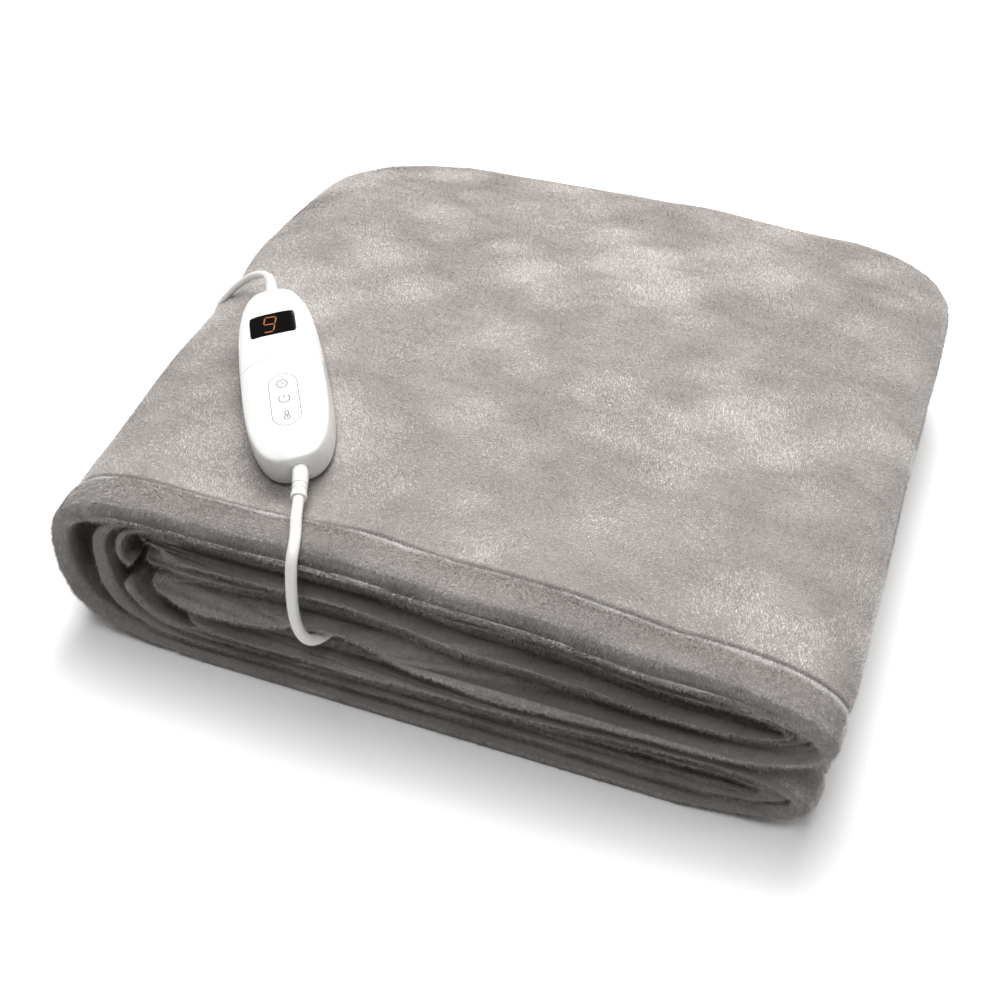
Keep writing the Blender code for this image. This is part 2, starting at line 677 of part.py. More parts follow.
def soft_curve(route):
    """Close points on a soft curve through the route's own points."""
    fine = []
    ends = [route[0] * 2 - route[1]] + list(route) + [route[-1] * 2 - route[-2]]
    for a, b, c, d in zip(ends, ends[1:], ends[2:], ends[3:]):
        for step in range(CURVE_STEPS):
            t = step / CURVE_STEPS
            fine.append(
                b + (c - a) * (t / 2) + (a * 2 - b * 5 + c * 4 - d) * (t * t / 2)
                + (b * 3 - a - c * 3 + d) * (t ** 3 / 2)
            )
    fine.append(Vector(route[-1]))
    return fine


def stretch_of(fine, start, end, spacing):
    """Points between two distances along a fine curve (end None: to its end).

    They are evenly spaced, with one more just inside each end that keeps the end face square.
    """
    distance = [0.0]
    for a, b in zip(fine, fine[1:]):
        distance.append(distance[-1] + (b - a).length)
    if end is None:
        end = distance[-1]
    count = max(2, round((end - start) / spacing))
    wanted = [start + (end - start) * step / count for step in range(count + 1)]
    wanted = sorted(wanted + [start + SQUARE_END, end - SQUARE_END])
    points = []
    for place in wanted:
        position = 0
        while position < len(fine) - 2 and distance[position + 1] < place:
            position += 1
        share = (place - distance[position]) / (distance[position + 1] - distance[position])
        points.append(fine[position].lerp(fine[position + 1], min(1.0, share)))
    return points


def tube(name, points, radius, made_of, tip_radius=None, steps=2):
    """Round cord along the points; with a tip radius it narrows evenly to that."""
    curve = bpy.data.curves.new(name, "CURVE")
    curve.dimensions = "3D"
    curve.bevel_depth = radius
    curve.bevel_resolution = steps
    curve.use_fill_caps = True
    spline = curve.splines.new("POLY")
    spline.points.add(len(points) - 1)
    for number, (place, point) in enumerate(zip(spline.points, points)):
        place.co = (*point, 1)
        if tip_radius:
            share = number / (len(points) - 1)
            place.radius = 1 + (tip_radius / radius - 1) * share
    return new_object(name, curve, made_of)


def make_lead(end, route, names, radii, spacing, made_of):
    """Strain relief and cord along one route, from the housing's end outwards."""
    relief_name, cord_name = names
    root_radius, tip_radius, cord_radius = radii
    frame = lead_exit(end)
    root = frame @ Vector((-RELIEF_ROOT, 0, 0))
    fine = soft_curve([root, frame.translation] + [Vector(point) * MM for point in route])
    relief_end = RELIEF_ROOT + RELIEF_LENGTH
    relief_points = stretch_of(fine, 0, relief_end, RELIEF_STEP)
    tube(relief_name, relief_points, root_radius, made_of, tip_radius, RELIEF_ROUNDNESS)
    cord_points = stretch_of(fine, relief_end + PIECE_GAP, None, spacing)
    tube(cord_name, cord_points, cord_radius, made_of)


def make_coil(made_of):
    """Outer shape of the stored turns: a ring, three cords wide and three high."""
    across = COIL_ACROSS * MAINS_LEAD_RADIUS
    height = COIL_UP * 2 * MAINS_LEAD_RADIUS
    inner = across - COIL_BEVEL
    upper = height - COIL_BEVEL
    profile = [
        (-across, COIL_BEVEL), (-inner, 0), (inner, 0), (across, COIL_BEVEL),
        (across, upper), (inner, height), (-inner, height), (-across, upper),
    ]
    points = []
    faces = []
    for step in range(COIL_STEPS):
        angle = 2 * math.pi * step / COIL_STEPS
        for out, up in profile:
            radius = COIL_MEAN_RADIUS + out
            points.append(COIL_CENTRE + Vector((
                radius * math.cos(angle), radius * math.sin(angle), up + FLOOR_CLEARANCE,
            )))
    count = len(profile)
    for step in range(COIL_STEPS):
        near = step * count
        far = (step + 1) % COIL_STEPS * count
        for a in range(count):
            b = (a + 1) % count
            faces.append((near + a, near + b, far + b, far + a))
    return new_object("lead_coil", mesh_from("lead_coil", points, faces), made_of)


def make_plug(shell, metal):
    """Flat two-pin plug lying on its wide face."""
    frame = Matrix.Translation(PLUG_REAR + Vector((PIECE_GAP, 0, 0)))
    outlines = []
    for row in PLUG_PROFILE:
        outline = []
        for step in range(PLUG_STEPS):
            across, up = bulged(2 * math.pi * step / PLUG_STEPS, PLUG_POWER)
            outline.append(Vector((
                row.along * PLUG_LENGTH,
                across * row.width * PLUG_WIDTH / 2,
                up * row.height * PLUG_HEIGHT / 2,
            )))
        outlines.append(outline)
    body = lofted("plug_body", outlines, shell, frame)
    smooth(body)
    for side, name in ((-1, "plug_pin_a"), (1, "plug_pin_b")):
        pin_frame = frame @ Matrix.Translation((PLUG_LENGTH + PIECE_GAP, side * PIN_PITCH / 2, 0))
        turned(
            name,
            [(0, PIN_RADIUS), (PIN_LENGTH - PIN_TIP_LENGTH, PIN_RADIUS), (PIN_LENGTH, PIN_TIP_RADIUS)],
            pin_frame, metal, PIN_STEPS,
        )


def main():
    for thing in list(bpy.data.objects):
        bpy.data.objects.remove(thing)
    fleece = material("warm_grey_fleece", (0.50, 0.47, 0.45), 0.95)
    shell = material("white_shell_plastic", (0.90, 0.90, 0.89), 0.25)
    pad = material("white_key_membrane", (0.88, 0.88, 0.87), 0.35)
    window = material("black_display_window", (0.01, 0.01, 0.01), 0.08)
    sleeve = material("white_cord_sleeve", (0.84, 0.84, 0.82), 0.45)
    metal = material("nickel_plated_pins", (0.75, 0.73, 0.68), 0.3)
    make_blanket(fleece)
    make_controller(shell, window, pad)
    make_lead(
        -1, BLANKET_LEAD, ("relief_near", "blanket_lead"),
        (*NEAR_RELIEF_RADII, BLANKET_LEAD_RADIUS), BLANKET_LEAD_STEP, sleeve,
    )
    make_lead(
        1, MAINS_LEAD, ("relief_far", "mains_lead"),
        (*FAR_RELIEF_RADII, MAINS_LEAD_RADIUS), MAINS_LEAD_STEP, sleeve,
    )
    make_coil(sleeve)
    tail = soft_curve([Vector(point) * MM for point in LEAD_TAIL])
    tube("mains_lead_tail", stretch_of(tail, 0, None, MAINS_LEAD_STEP), MAINS_LEAD_RADIUS, sleeve)
    make_plug(shell, metal)


main()
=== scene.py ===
"""Electric heated blanket, folded: its pile, seams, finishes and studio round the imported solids.

Metres, +Z up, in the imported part's own frame. The hem that shows is on the near side (-Y), the two
rolled ends lie to the right (+X) and the outer wrap is on the left (-X).
"""
import math
from collections import namedtuple

import bmesh
import bpy
import numpy as np
from mathutils import Matrix, Vector, noise
from mathutils.geometry import tessellate_polygon


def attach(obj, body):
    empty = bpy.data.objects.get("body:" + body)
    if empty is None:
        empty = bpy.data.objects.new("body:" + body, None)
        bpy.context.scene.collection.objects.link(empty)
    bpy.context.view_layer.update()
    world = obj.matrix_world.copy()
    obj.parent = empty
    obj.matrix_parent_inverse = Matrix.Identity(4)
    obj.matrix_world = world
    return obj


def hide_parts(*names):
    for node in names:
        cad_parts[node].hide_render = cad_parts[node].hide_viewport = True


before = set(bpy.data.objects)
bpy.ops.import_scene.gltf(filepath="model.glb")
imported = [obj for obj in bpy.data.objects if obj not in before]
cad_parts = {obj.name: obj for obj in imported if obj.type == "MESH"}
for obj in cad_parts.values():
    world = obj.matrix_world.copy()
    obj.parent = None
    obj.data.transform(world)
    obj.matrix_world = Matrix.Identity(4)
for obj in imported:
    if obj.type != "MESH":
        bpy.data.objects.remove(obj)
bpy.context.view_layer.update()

MM = 0.001

# Camera: 36 mm sensor, square picture of 1000 by 1000, focal length in its pixels
SENSOR = 36
IMAGE_SIDE = 1000
FOCAL_PIXELS = 1334
CAMERA_PLACE = (0.19915, -0.60549, 0.56773)
CAMERA_AZIMUTH = math.radians(20.39)
CAMERA_ELEVATION = math.radians(42)

# Studio
FLOOR_HALF = 3.0
FLOOR_DROP = 0.3 * MM
FLOOR_THICKNESS = 10 * MM
SKY_STRENGTH = 0.07
LAMP_AIM = Vector((0, 0, 50 * MM))
Lamp = namedtuple("Lamp", "name place size power")
LAMPS = [
    Lamp("overhead_softbox", (-0.30, 0.40, 2.50), 1.5, 42),
    Lamp("far_softbox", (-0.10, 0.80, 1.55), 1.1, 26),
    Lamp("front_softbox", (0.20, -0.75, 1.90), 0.7, 11.5),
    Lamp("right_softbox", (1.00, -0.15, 0.70), 0.8, 3.2),
    Lamp("left_softbox", (-1.00, -0.30, 0.70), 0.8, 1.8),
]

# A body's edges stay sharp where its faces meet at more than so many degrees
SHARP = 35
CARVED_SHARP = 30
SLEEVE_SHARP = 50
ALL_SMOOTH = 180
CURVE_STEPS = 16

# Cords, as in the imported part: routes in millimetres
BLANKET_LEAD_RADIUS = 3.0 * MM
MAINS_LEAD_RADIUS = 2.2 * MM
RELIEF_HEIGHT = 12 * MM
NEAR_EXIT_SIDE = -1.8 * MM
BLANKET_LEAD = [
    (-77.9, -155.8, 114.8), (-73.9, -165.6, 113.7), (-67.5, -181.6, 113.0), (-63.4, -190.4, 112.4),
    (-60.9, -197.6, 110.9), (-59.7, -203.5, 106.2), (-59.6, -206.0, 98.0), (-60.1, -206.6, 88.5),
    (-60.6, -206.7, 79.0), (-60.5, -206.6, 68.5), (-59.4, -206.2, 60.2), (-57.4, -205.0, 53.8),
    (-54.9, -202.2, 49.8), (-52.6, -197.8, 47.9), (-50.8, -192.0, 47.2), (-49.7, -185.5, 47.0),
    (-49.1, -178.0, 46.9), (-48.9, -170.0, 46.9),
]
MAINS_LEAD = [
    (-161.1, -24.1, 133.7), (-164.3, -19.4, 134.3), (-168.3, -15.6, 134.2), (-173.2, -13.0, 133.0),
    (-178.8, -11.6, 130.4), (-184.7, -10.4, 126.4), (-190.8, -9.2, 121.2), (-196.8, -8.0, 115.4),
    (-202.6, -7.0, 109.0), (-208.2, -6.2, 102.2), (-213.0, -5.4, 94.6), (-216.6, -4.6, 86.0),
    (-219.2, -3.4, 76.0), (-220.6, -1.6, 65.0), (-221.0, 2.0, 53.0), (-220.8, 8.6, 41.0),
    (-219.8, 18.6, 29.0), (-218.4, 31.6, 18.0), (-217.0, 47.0, 9.2), (-216.1, 62.0, 4.5),
    (-215.6, 76.0, 2.7), (-215.2, 92.0, 2.35), (-213.6, 112.0, 2.3), (-209.6, 142.0, 2.3),
    (-201.0, 171.0, 2.3), (-186.0, 194.0, 2.3), (-165.0, 208.0, 2.3), (-139.0, 214.4, 2.3),
    (-111.0, 215.8, 2.3), (-86.0, 215.9, 2.3), (-62.0, 215.9, 2.3),
]
LEAD_TAIL = [
    (-27.9, 250.0, 2.3), (-26.5, 257.1, 2.3), (-22.5, 263.1, 2.7), (-16.5, 267.1, 3.9),
    (-9.4, 268.5, 5.5), (0.0, 268.5, 7.0), (9.0, 268.5, 7.6), (14.0, 268.5, 7.7),
]
PLUG_REAR = Vector(LEAD_TAIL[-1]) * MM

# The coil, counted in turns from where the lead reaches it on its near side: by the end of each
# step the cord lies at that radius and height, in millimetres.
COIL_CENTRE = (-62, 250)
COIL_ARRIVAL = -math.pi / 2
COIL_ENTRY_RADIUS = 34.1
COIL_FLOOR_HEIGHT = 2.3
COIL_TURNS = 7.25
COIL_POINTS_A_TURN = 16
CoilStep = namedtuple("CoilStep", "start end radius height")
COIL_STEPS = [
    CoilStep(0.0, 0.125, 29.4, 2.3), CoilStep(1.0, 1.25, 25.0, 2.3), CoilStep(2.0, 2.25, 20.6, 2.3),
    CoilStep(2.75, 3.0, 20.6, 6.7), CoilStep(3.5, 3.75, 25.0, 6.7), CoilStep(4.5, 4.75, 29.4, 6.7),
    CoilStep(5.25, 5.5, 29.4, 11.1), CoilStep(5.5, 5.75, 25.0, 11.1), CoilStep(6.4, 6.6, 29.4, 11.1),
    CoilStep(6.7, 6.9, 34.1, 11.1), CoilStep(6.85, 7.25, 34.1, 2.3),
]
CORD_ROUNDNESS = 5
CORD_RESOLUTION = 5

# Strain reliefs, from inside the housing to the cord: millimetres past its end, radius
Rib = namedtuple("Rib", "at radius")
NEAR_RELIEF = [
    Rib(-6, 4.3), Rib(0, 4.3), Rib(9.6, 4.2), Rib(10.3, 4.1), Rib(10.6, 3.75), Rib(11.4, 3.75),
    Rib(11.7, 4.1), Rib(13.6, 4.05), Rib(13.9, 3.7), Rib(14.7, 3.7), Rib(15.0, 4.0), Rib(17.0, 4.0),
    Rib(17.3, 4.3), Rib(17.6, 4.35), Rib(19.2, 4.35), Rib(19.6, 4.2), Rib(20, 3.3),
]
FAR_RELIEF = [
    Rib(-6, 4.0), Rib(0, 4.0), Rib(5.0, 3.85), Rib(5.3, 3.6), Rib(6.1, 3.6), Rib(6.4, 3.75),
    Rib(9.6, 3.5), Rib(9.9, 3.2), Rib(10.7, 3.2), Rib(11.0, 3.4), Rib(14.4, 3.1), Rib(14.7, 2.85),
    Rib(15.5, 2.85), Rib(15.8, 3.0), Rib(19.4, 2.8), Rib(20, 2.4),
]
RELIEF_SIDES = 48
RELIEF_RING_STEP = 0.35
# Dips on top of the near sleeve: where, how deep, half as long, and half as wide in radians
NOTCHES = (3.4, 11.0)
NOTCH_DEPTH = 0.5
NOTCH_REACH = 0.8
NOTCH_SPREAD = 0.2

# Hand controller, in its own frame: along it (far end +X), across it (left +Y) and up
HOUSING_LENGTH = 139.7 * MM
HOUSING_NEAR_WIDTH = 51 * MM
HOUSING_FAR_WIDTH = 45 * MM
HOUSING_CENTRE = Vector((-118.6 * MM, -89.5 * MM, 112.2 * MM))
HOUSING_YAW = math.radians(31.9)
HOUSING_PITCH = math.radians(7.0)
HOUSING_ROLL = math.radians(-7.5)
HOUSING_CORNER_POWER = 3.0
HOUSING_SIDES = 168
HOUSING_HEIGHT = 24
# The cloth under the controller is pressed to its underside, and comes free over this distance
SEAT_REACH = 42 * MM
SEAT_FADE = 78 * MM
SEAT_FRONT = (-184 * MM, -153 * MM)
PIECE_GAP = 0.3
Level = namedtuple("Level", "inset height")
LOWER_SHELL = [
    Level(5.5, 0), Level(4.0, 0.35), Level(2.6, 1.0), Level(1.6, 1.9), Level(0.9, 3.0), Level(0.4, 4.3),
    Level(0.2, 5.5),
]
UPPER_SHELL = [
    Level(0.2, 5.8), Level(0.05, 7.2), Level(0, 9), Level(0.1, 12), Level(0.35, 15), Level(0.7, 17.2),
    Level(1.05, 18.8), Level(1.35, 19.6), Level(1.8, 20.2), Level(2.4, 20.6), Level(3.5, 21.15),
    Level(5.2, 21.9), Level(7.2, 22.65), Level(9.4, 23.25), Level(12, 23.68), Level(15, 23.93),
    Level(18, 24),
]
# The top's lowered side lies beyond an arc (x, y, radius), with a fine groove along it
STEP_DROP = 0.8
STEP_ARC = (-42.3, -1.5, 50.0)
STEP_ARC_HALF_ANGLE = math.radians(50)
STEP_GROOVE_WIDTH = 1.3
STEP_GROOVE_DEPTH = 0.9
STEP_FAR_END = 90
CUT_RISE = 6
CUT_FLOOR = 17
DISPLAY_PLACE = (34.3, 0.9)
DISPLAY_SIZE = (17.6, 26.2)
DISPLAY_CORNER = 2
DISPLAY_DEPTH = 1.2
KEY_PAD_PLACE = (-27.9, -0.4)
KEY_PAD_SIZE = (38.4, 15.2)
KEY_PAD_CORNER = 7.5
KEY_PAD_DEPTH = 1.0
PAD_GAP = 0.4
# The groove's painted shade stops this far under the top
GROOVE_SHADE_SINK = 0.35
FIGURE_SINK = 0.3
CORNER_POINTS = 12
BORE_RADIUS = 4.45
BORE_DEPTH = 6.3
BORE_REACH = 20
BORE_SIDES = 48

# Lit strokes of the figure 9 on the display, ends in the controller's frame, in millimetres
Stroke = namedtuple("Stroke", "from_x from_y to_x to_y")
FIGURE_NINE = [
    Stroke(40.5, 4.3, 39.8, -1.4), Stroke(39.9, 4.7, 35.3, 5.7), Stroke(39.2, -1.7, 34.7, -0.7),
    Stroke(34.7, 5.4, 34.1, -0.2), Stroke(33.5, -0.4, 28.8, 0.6), Stroke(28.3, 5.7, 28.1, 1.1),
]
FIGURE_STROKE = 0.75
ICON_STROKE = 0.6
PRINT_THICKNESS = 0.03
# Printed signs on the key pad; the lines inside them count from their centres
CLOCK_CENTRE = (-15.9, 0.0)
CLOCK_HANDS = [(1.3, 0), (0, 0), (0.2, -1.5)]
POWER_CENTRE = (-27.4, -0.2)
POWER_BAR = [(0.4, 0), (2.9, 0)]
THERMOMETER_CENTRE = (-41.6, -0.5)
SIGN_RADIUS = 2.9
SIGN_POINTS = 36
POWER_GAP = math.radians(42)
BULB_RADIUS = 1.5
BULB_GAP = math.radians(38)
STEM_LENGTH = 4.2
STEM_TIP = 0.5
STEM_TIP_WIDTH = 0.6
COLUMN_SHARE = 0.55
COLUMN_WIDTH = 1.2

# Plug and its two pins
PLUG_LENGTH = 34 * MM
PLUG_HEIGHT = 15 * MM
PLUG_WIDTH = 26 * MM
PLUG_POWER = 3.3
PLUG_SIDES = 72
PIN_PITCH = 18.6 * MM
PIN_SIDES = 32
Bulge = namedtuple("Bulge", "along width height")
PLUG_PROFILE = [
    Bulge(0, 0.42, 0.50), Bulge(0.008, 0.49, 0.585), Bulge(0.03, 0.53, 0.64), Bulge(0.12, 0.68, 0.84),
    Bulge(0.20, 0.79, 0.92), Bulge(0.30, 0.89, 0.97), Bulge(0.45, 0.97, 1), Bulge(0.55, 1, 1),
    Bulge(0.90, 1, 1), Bulge(0.96, 0.995, 0.99), Bulge(0.985, 0.975, 0.96), Bulge(1, 0.94, 0.90),
]
PIN_SLEEVE = [Rib(0, 1.9), Rib(9.4, 1.9), Rib(9.7, 1.8)]
PIN_METAL = [Rib(9.7, 2.0), Rib(17.6, 2.0), Rib(18.4, 1.75), Rib(18.8, 1.4), Rib(19, 0.9)]

# Folded block, as in the imported part
HALF_WIDTH = 217 * MM
HALF_DEPTH = 200 * MM
SEAM_PLACE = -172 * MM
SEAM_DEPTH = 2.6 * MM
SEAM_SPREAD = 1.25 * MM
SEAM_WANDER = 0.5 * MM
SEAM_WANDER_LENGTH = 30 * MM
PUCKER_SHARE = 0.35
PUCKER_LENGTH = 5 * MM
BORDER_PUFF = 1.6 * MM
BORDER_START = SEAM_PLACE - 1 * MM
BORDER_FULL = SEAM_PLACE - 9 * MM
BORDER_ROUNDING = 6 * MM
BACK_ROUNDING = 3 * MM
CROWN = 0.15
CROWN_START = -178 * MM
CROWN_FULL = -25 * MM
CROWN_FADE = 40 * MM
CROWN_FAR_PLACES = [-200 * MM, -50 * MM, 50 * MM, 200 * MM]
CROWN_FAR_DROPS = [0.75, 0.85, 0.6, 0.3]
CROWN_RIGHT_DROP = 0.45
# The top rises a little at the left and at the far right: how much, and between which places
LEFT_LIFT = 10 * MM
LEFT_LIFT_NEAR = (5 * MM, 50 * MM)
LEFT_LIFT_FAR = (140 * MM, 200 * MM)
LEFT_LIFT_SIDE = (60 * MM, 160 * MM)
RIGHT_LIFT = 3 * MM
RIGHT_LIFT_NEAR = (50 * MM, 160 * MM)
RIGHT_LIFT_SIDE = (50 * MM, 180 * MM)
RUN_LEFT = -130 * MM
RUN_RIGHT = 145 * MM
TOP_SPACING = 4 * MM
TUCK_SPACING = 8 * MM
LAYER_SPACING = 16 * MM
TURN_STEPS = 12
ROLL_STEPS = 16
WRAP_STEPS = 26
ROUND_POWER = 2.0
WRAP_POWER = 2.8
CURL_TIP = 0.8
CURL_ROUNDING = 0.75
# The border bends down to its lip over this length, by so much at its edge
LIP_LENGTH = 15 * MM
LIP_DROP = 6.0 * MM
LIP_FADE = (0.7, 0.95)
# The short lead goes in where the two rolls part a little
TUCK_PLACE = -49 * MM
TUCK_FLAT = 10 * MM
TUCK_REACH = 40 * MM
TUCK_HALF_HEIGHT = 5.2 * MM
TUCK_DEPTH = (-168 * MM, -138 * MM)
# Lines between the layers, at four places across: how high, and how far open, in millimetres
Line = namedtuple(
    "Line", "name left mid_left mid_right right open_left open_mid_left open_mid_right open_right",
    defaults=(1.2, 1.2, 1.2, 1.2),
)
LINE_PLACES = [-135 * MM, -45 * MM, 45 * MM, 145 * MM]
LINES = {
    row.name: row
    for row in [
        Line("top", 104.5, 106.5, 103.5, 96.0, 0, 0, 0, 0),
        Line("hem_a", 95.6, 97.9, 94.9, 86.4),
        Line("fold_a", 91.9, 92.9, 89.4, 80.6),
        Line("cavity_ab", 87.8, 87.3, 80.6, 70.2, 1.2, 1.2, 4.0, 9.0),
        Line("fold_b", 71.0, 73.5, 66.0, 60.8),
        Line("hem_b", 60.0, 67.0, 60.0, 55.0),
        Line("between_rolls", 37.0, 47.0, 36.5, 42.0, 1.2, 1.2, 1.2, 1.6),
        Line("hem_c", 22.5, 23.5, 28.5, 35.5),
        Line("cavity_cd", 15.5, 17.0, 20.0, 22.0, 1.2, 1.2, 4.0, 9.0),
        Line("hem_d", 9.0, 10.5, 12.0, 9.5),
        Line("bottom", 0, 0, 0, 0, 0, 0, 0, 0),
    ]
}
# How far out each turn of the cloth reaches
Nose = namedtuple("Nose", "name x")
NOSES = {
    row.name: row.x * MM
    for row in [
        Nose("b_hem_left", -159), Nose("b_under_left", -160), Nose("b_fold_left", -165),
        Nose("c_hem_left", -141), Nose("wrap_outer_in", -208), Nose("wrap_mid_out", -193),
        Nose("wrap_mid_in", -185.5), Nose("upper_outer_in", 205.6), Nose("upper_mid_out", 204.4),
        Nose("upper_mid_in", 198.2), Nose("upper_inner_out", 197), Nose("upper_cavity", 190),
        Nose("lower_out", 214), Nose("lower_outer_in", 203), Nose("lower_inner_out", 201.6),
        Nose("lower_cavity", 187), Nose("hem_slot_end", -121), Nose("fold_slot_end", -131),
        Nose("block_left", -217), Nose("block_right", 217),
    ]
}
HEM_SLOT_END = -120 * MM
CREASE_PLACE = -150 * MM
NOTCH_PLACE = -133 * MM
NOTCH_LIFT = 0.4 * MM
# Middle lines of the two free ends that curl at the left
Curl = namedtuple("Curl", "x z")
INNER_CURL = [
    Curl(-150, 89.2), Curl(-160, 87.0), Curl(-168, 82.6), Curl(-173, 75.6), Curl(-175.2, 67.8),
    Curl(-174.0, 62.0), Curl(-170.0, 58.6),
]
INNER_CURL_HALF = 1.5 * MM
LOWER_CURL = [
    Curl(-140, 19.0), Curl(-150, 19.8), Curl(-160, 23.0), Curl(-168, 29.5), Curl(-173, 38.0),
    Curl(-174, 45.0),
]
LOWER_CURL_HALF = 2.6 * MM
CURL_FINENESS = 3
# How far the block reaches to each side, at each depth
Outline = namedtuple("Outline", "y left right")
OUTLINE = [
    Outline(-200, 214, 212), Outline(-150, 219, 216), Outline(-60, 221, 217), Outline(-20, 219.5, 217),
    Outline(60, 221, 219), Outline(125, 222, 221), Outline(155, 221, 221), Outline(178, 213, 220),
    Outline(192, 196, 214), Outline(200, 175, 206),
]
# How far each layer's near edge lies back, in millimetres, at its upper and its lower face
Edge = namedtuple("Edge", "name upper lower")
EDGES = {
    row.name: row
    for row in [
        Edge("hem_a", 1.5, 0), Edge("fold_a", 6.0, 5.0), Edge("fold_b", 10.0, 1.5),
        Edge("under_b", 8.0, 5.0), Edge("hem_b", 9.5, 0), Edge("hem_c", 9.0, 1.0),
        Edge("fold_c", 8.0, 4.0), Edge("fold_d", 7.0, 3.5), Edge("hem_d", 6.0, 0.5),
    ]
}
# A layer's near edge is rounded by a share of its thickness, more above than below
UPPER_ROUNDING = (7.0, 0.46)
LOWER_ROUNDING = (4.0, 0.34)
# Depths at which the section is drawn, front to back: fine at the near edge, the seam and the back
Stretch = namedtuple("Stretch", "start end steps")
DEPTHS = [
    Stretch(-200, -199.7, 2), Stretch(-199.7, -198.5, 3), Stretch(-198.5, -195, 4),
    Stretch(-195, -190, 3), Stretch(-190, -177, 6), Stretch(-177, -167, 14), Stretch(-167, -140, 6),
    Stretch(-140, 190, 38), Stretch(190, 197, 3), Stretch(197, 200, 4),
]
# Soft unevenness of the cloth: how much, and over what length it comes and goes
WAVE_HEIGHT = 1.5 * MM
WAVE_LENGTH = 62 * MM
WAVE_DEPTH_LENGTH = 90 * MM
WAVE_RISE_LENGTH = 300 * MM
DIMPLE_HEIGHT = 0.9 * MM
DIMPLE_LENGTH = 24 * MM
DIMPLE_FADE = (0.8, 1)
EDGE_WANDER = 1.6 * MM
EDGE_WANDER_LENGTH = 48 * MM
EDGE_RIPPLE = 0.5 * MM
EDGE_RIPPLE_LENGTH = 9 * MM
LAYER_SHIFT = 7.3
SEAM_SEED = 3
PUCKER_SEED = 9
DIMPLE_SEED = 5
RIPPLE_SEED = 2

# Pile: real coral fleece has a cut pile of about 3 mm. Its blades are drawn wider than its
# fibres, as tufts 0.24 to 0.5 mm wide, and sparser, so that they show at half a millimetre a pixel.
# Length and width are in millimetres, lean in degrees, and root is the painted shade of the blade's foot,
# darkest on the near edges.
SEED = 11
Tuft = namedtuple("Tuft", "name zone count length width lean spread scatter root")
PILE = [
    Tuft("pile_edges_long", "near", 140000, 2.5, 0.24, 46, 0.34, 0.26, 0.36),
    Tuft("pile_edges_short", "near", 140000, 1.5, 0.26, 58, 0.28, 0.22, 0.46),
    Tuft("pile_border", "border", 70000, 1.6, 0.25, 58, 0.18, 0.12, 0.42),
    Tuft("pile_top_down", "top", 180000, 1.6, 0.29, 66, 0.22, 0.12, 0.88),
    Tuft("pile_top_up", "top", 180000, 1.4, 0.27, 58, 0.22, 0.12, 0.88),
    Tuft("pile_sides", "sides", 60000, 2.0, 0.38, 58, 0.26, 0.16, 0.74),
    Tuft("pile_back", "back", 15000, 1.8, 0.50, 56, 0.30, 0.20, 0.64),
]
LENGTH_SPREAD = (0.55, 1.25)
WIDTH_SPREAD = (0.7, 1.3)
LEAN_SPREAD = 0.6
LEAN_LIMITS = (0.1, 1.35)
BLADE_TURN = 0.35
ROOT_DEPTH = 0.2 * MM
# Zones of the pile: limits of place and of the way that the cloth faces
LIP_ZONE = -195.5 * MM
END_ZONE = -186 * MM
END_FACING = -0.35
OPEN_END = -132 * MM
OPEN_DEPTH = -176 * MM
NEAR_ZONE = -194 * MM
BACK_ZONE = 194 * MM
FACING_UP = 0.35
SIDE_LOWEST = -0.9
BLADE_FLOOR = 0.3 * MM
HOUSING_CLEAR = 1.5 * MM
HOUSING_BELOW = 10 * MM
# The nap's direction swings over the cloth. Each swing has its share, how often it turns along,
# across and up, and whether each pile shifts it in its own way.
NAP_LENGTH = 75 * MM
NAP_SWING = 1.3
NAP_HEADING = 4.2
NAP_DROOP = -0.6
Swing = namedtuple("Swing", "share along across up own")
NAP_SWINGS = [
    Swing(1, 1.7, 0.9, 0, 1), Swing(0.8, -1.3, 2.9, 1.1, 0), Swing(0.6, 5.1, 4.3, 2.0, 0),
    Swing(0.4, -7.9, 9.7, 0, 0),
]
# How far the lean of the pile turns its shading
NAP_SHADING = 0.24
# Blade tips are painted a little lighter than their colour, the feet darker: painted light and shade along
# each blade
TIP_SHADE = 1.08
# Rows of the pile show as fine lines along the edges of the layers, about 1.5 mm apart
ROW_SHADE = 0.36
ROW_SPACING = 1.5 * MM
ROW_LENGTH = 26 * MM
# Clumps of tufts lie closer or more open, about 1.3 mm apart
CLUMP_SHADE = 0.30
EDGE_CLUMP_SHADE = 0.46
CLUMP_SPACING = 1.3 * MM
# Between the layers the pile is in the shade: so much less light, at so much behind the front
DEEP_SHADE = 0.60
DEEP_PLACE = 9 * MM
# The border is stroked forward, and over its seam backward and more upright
BORDER_STROKE = (0.15, -1.0, -0.5)
SEAM_STROKE = (0.1, 1.0, 0.2)
SEAM_REACH = 6 * MM
SEAM_UPRIGHT = 0.5
EDGE_NAP = 0.45
# Each blade has its own corner of the map, between these shares of a cell
BAKE_MAP = "OFBake"
ROOM_START = 0.06
ROOM_END = 0.80

# Lockstitch of the border: polyester thread, a stitch every 3 mm
STITCH_LENGTH = 3.0 * MM
STITCH_SHAPE = [(0, -0.5), (0.15, 0.1), (0.42, 0.25), (0.68, 0.1), (0.84, -0.5)]
STITCH_FLOOR = 8 * MM
THREAD_RADIUS = 0.22 * MM
THREAD_SIDES = 6


def blend(low, high, value):
    """Smooth step from 0 at low to 1 at high."""
    t = min(1.0, max(0.0, (value - low) / (high - low)))
    return t * t * (3 - 2 * t)


def along(places, values, where):
    """Value at one place of a soft curve through the given ones."""
    if where <= places[0]:
        return values[0]
    for low, high, first, last in zip(places, places[1:], values, values[1:]):
        if where <= high:
            return first + (last - first) * blend(low, high, where)
    return values[-1]
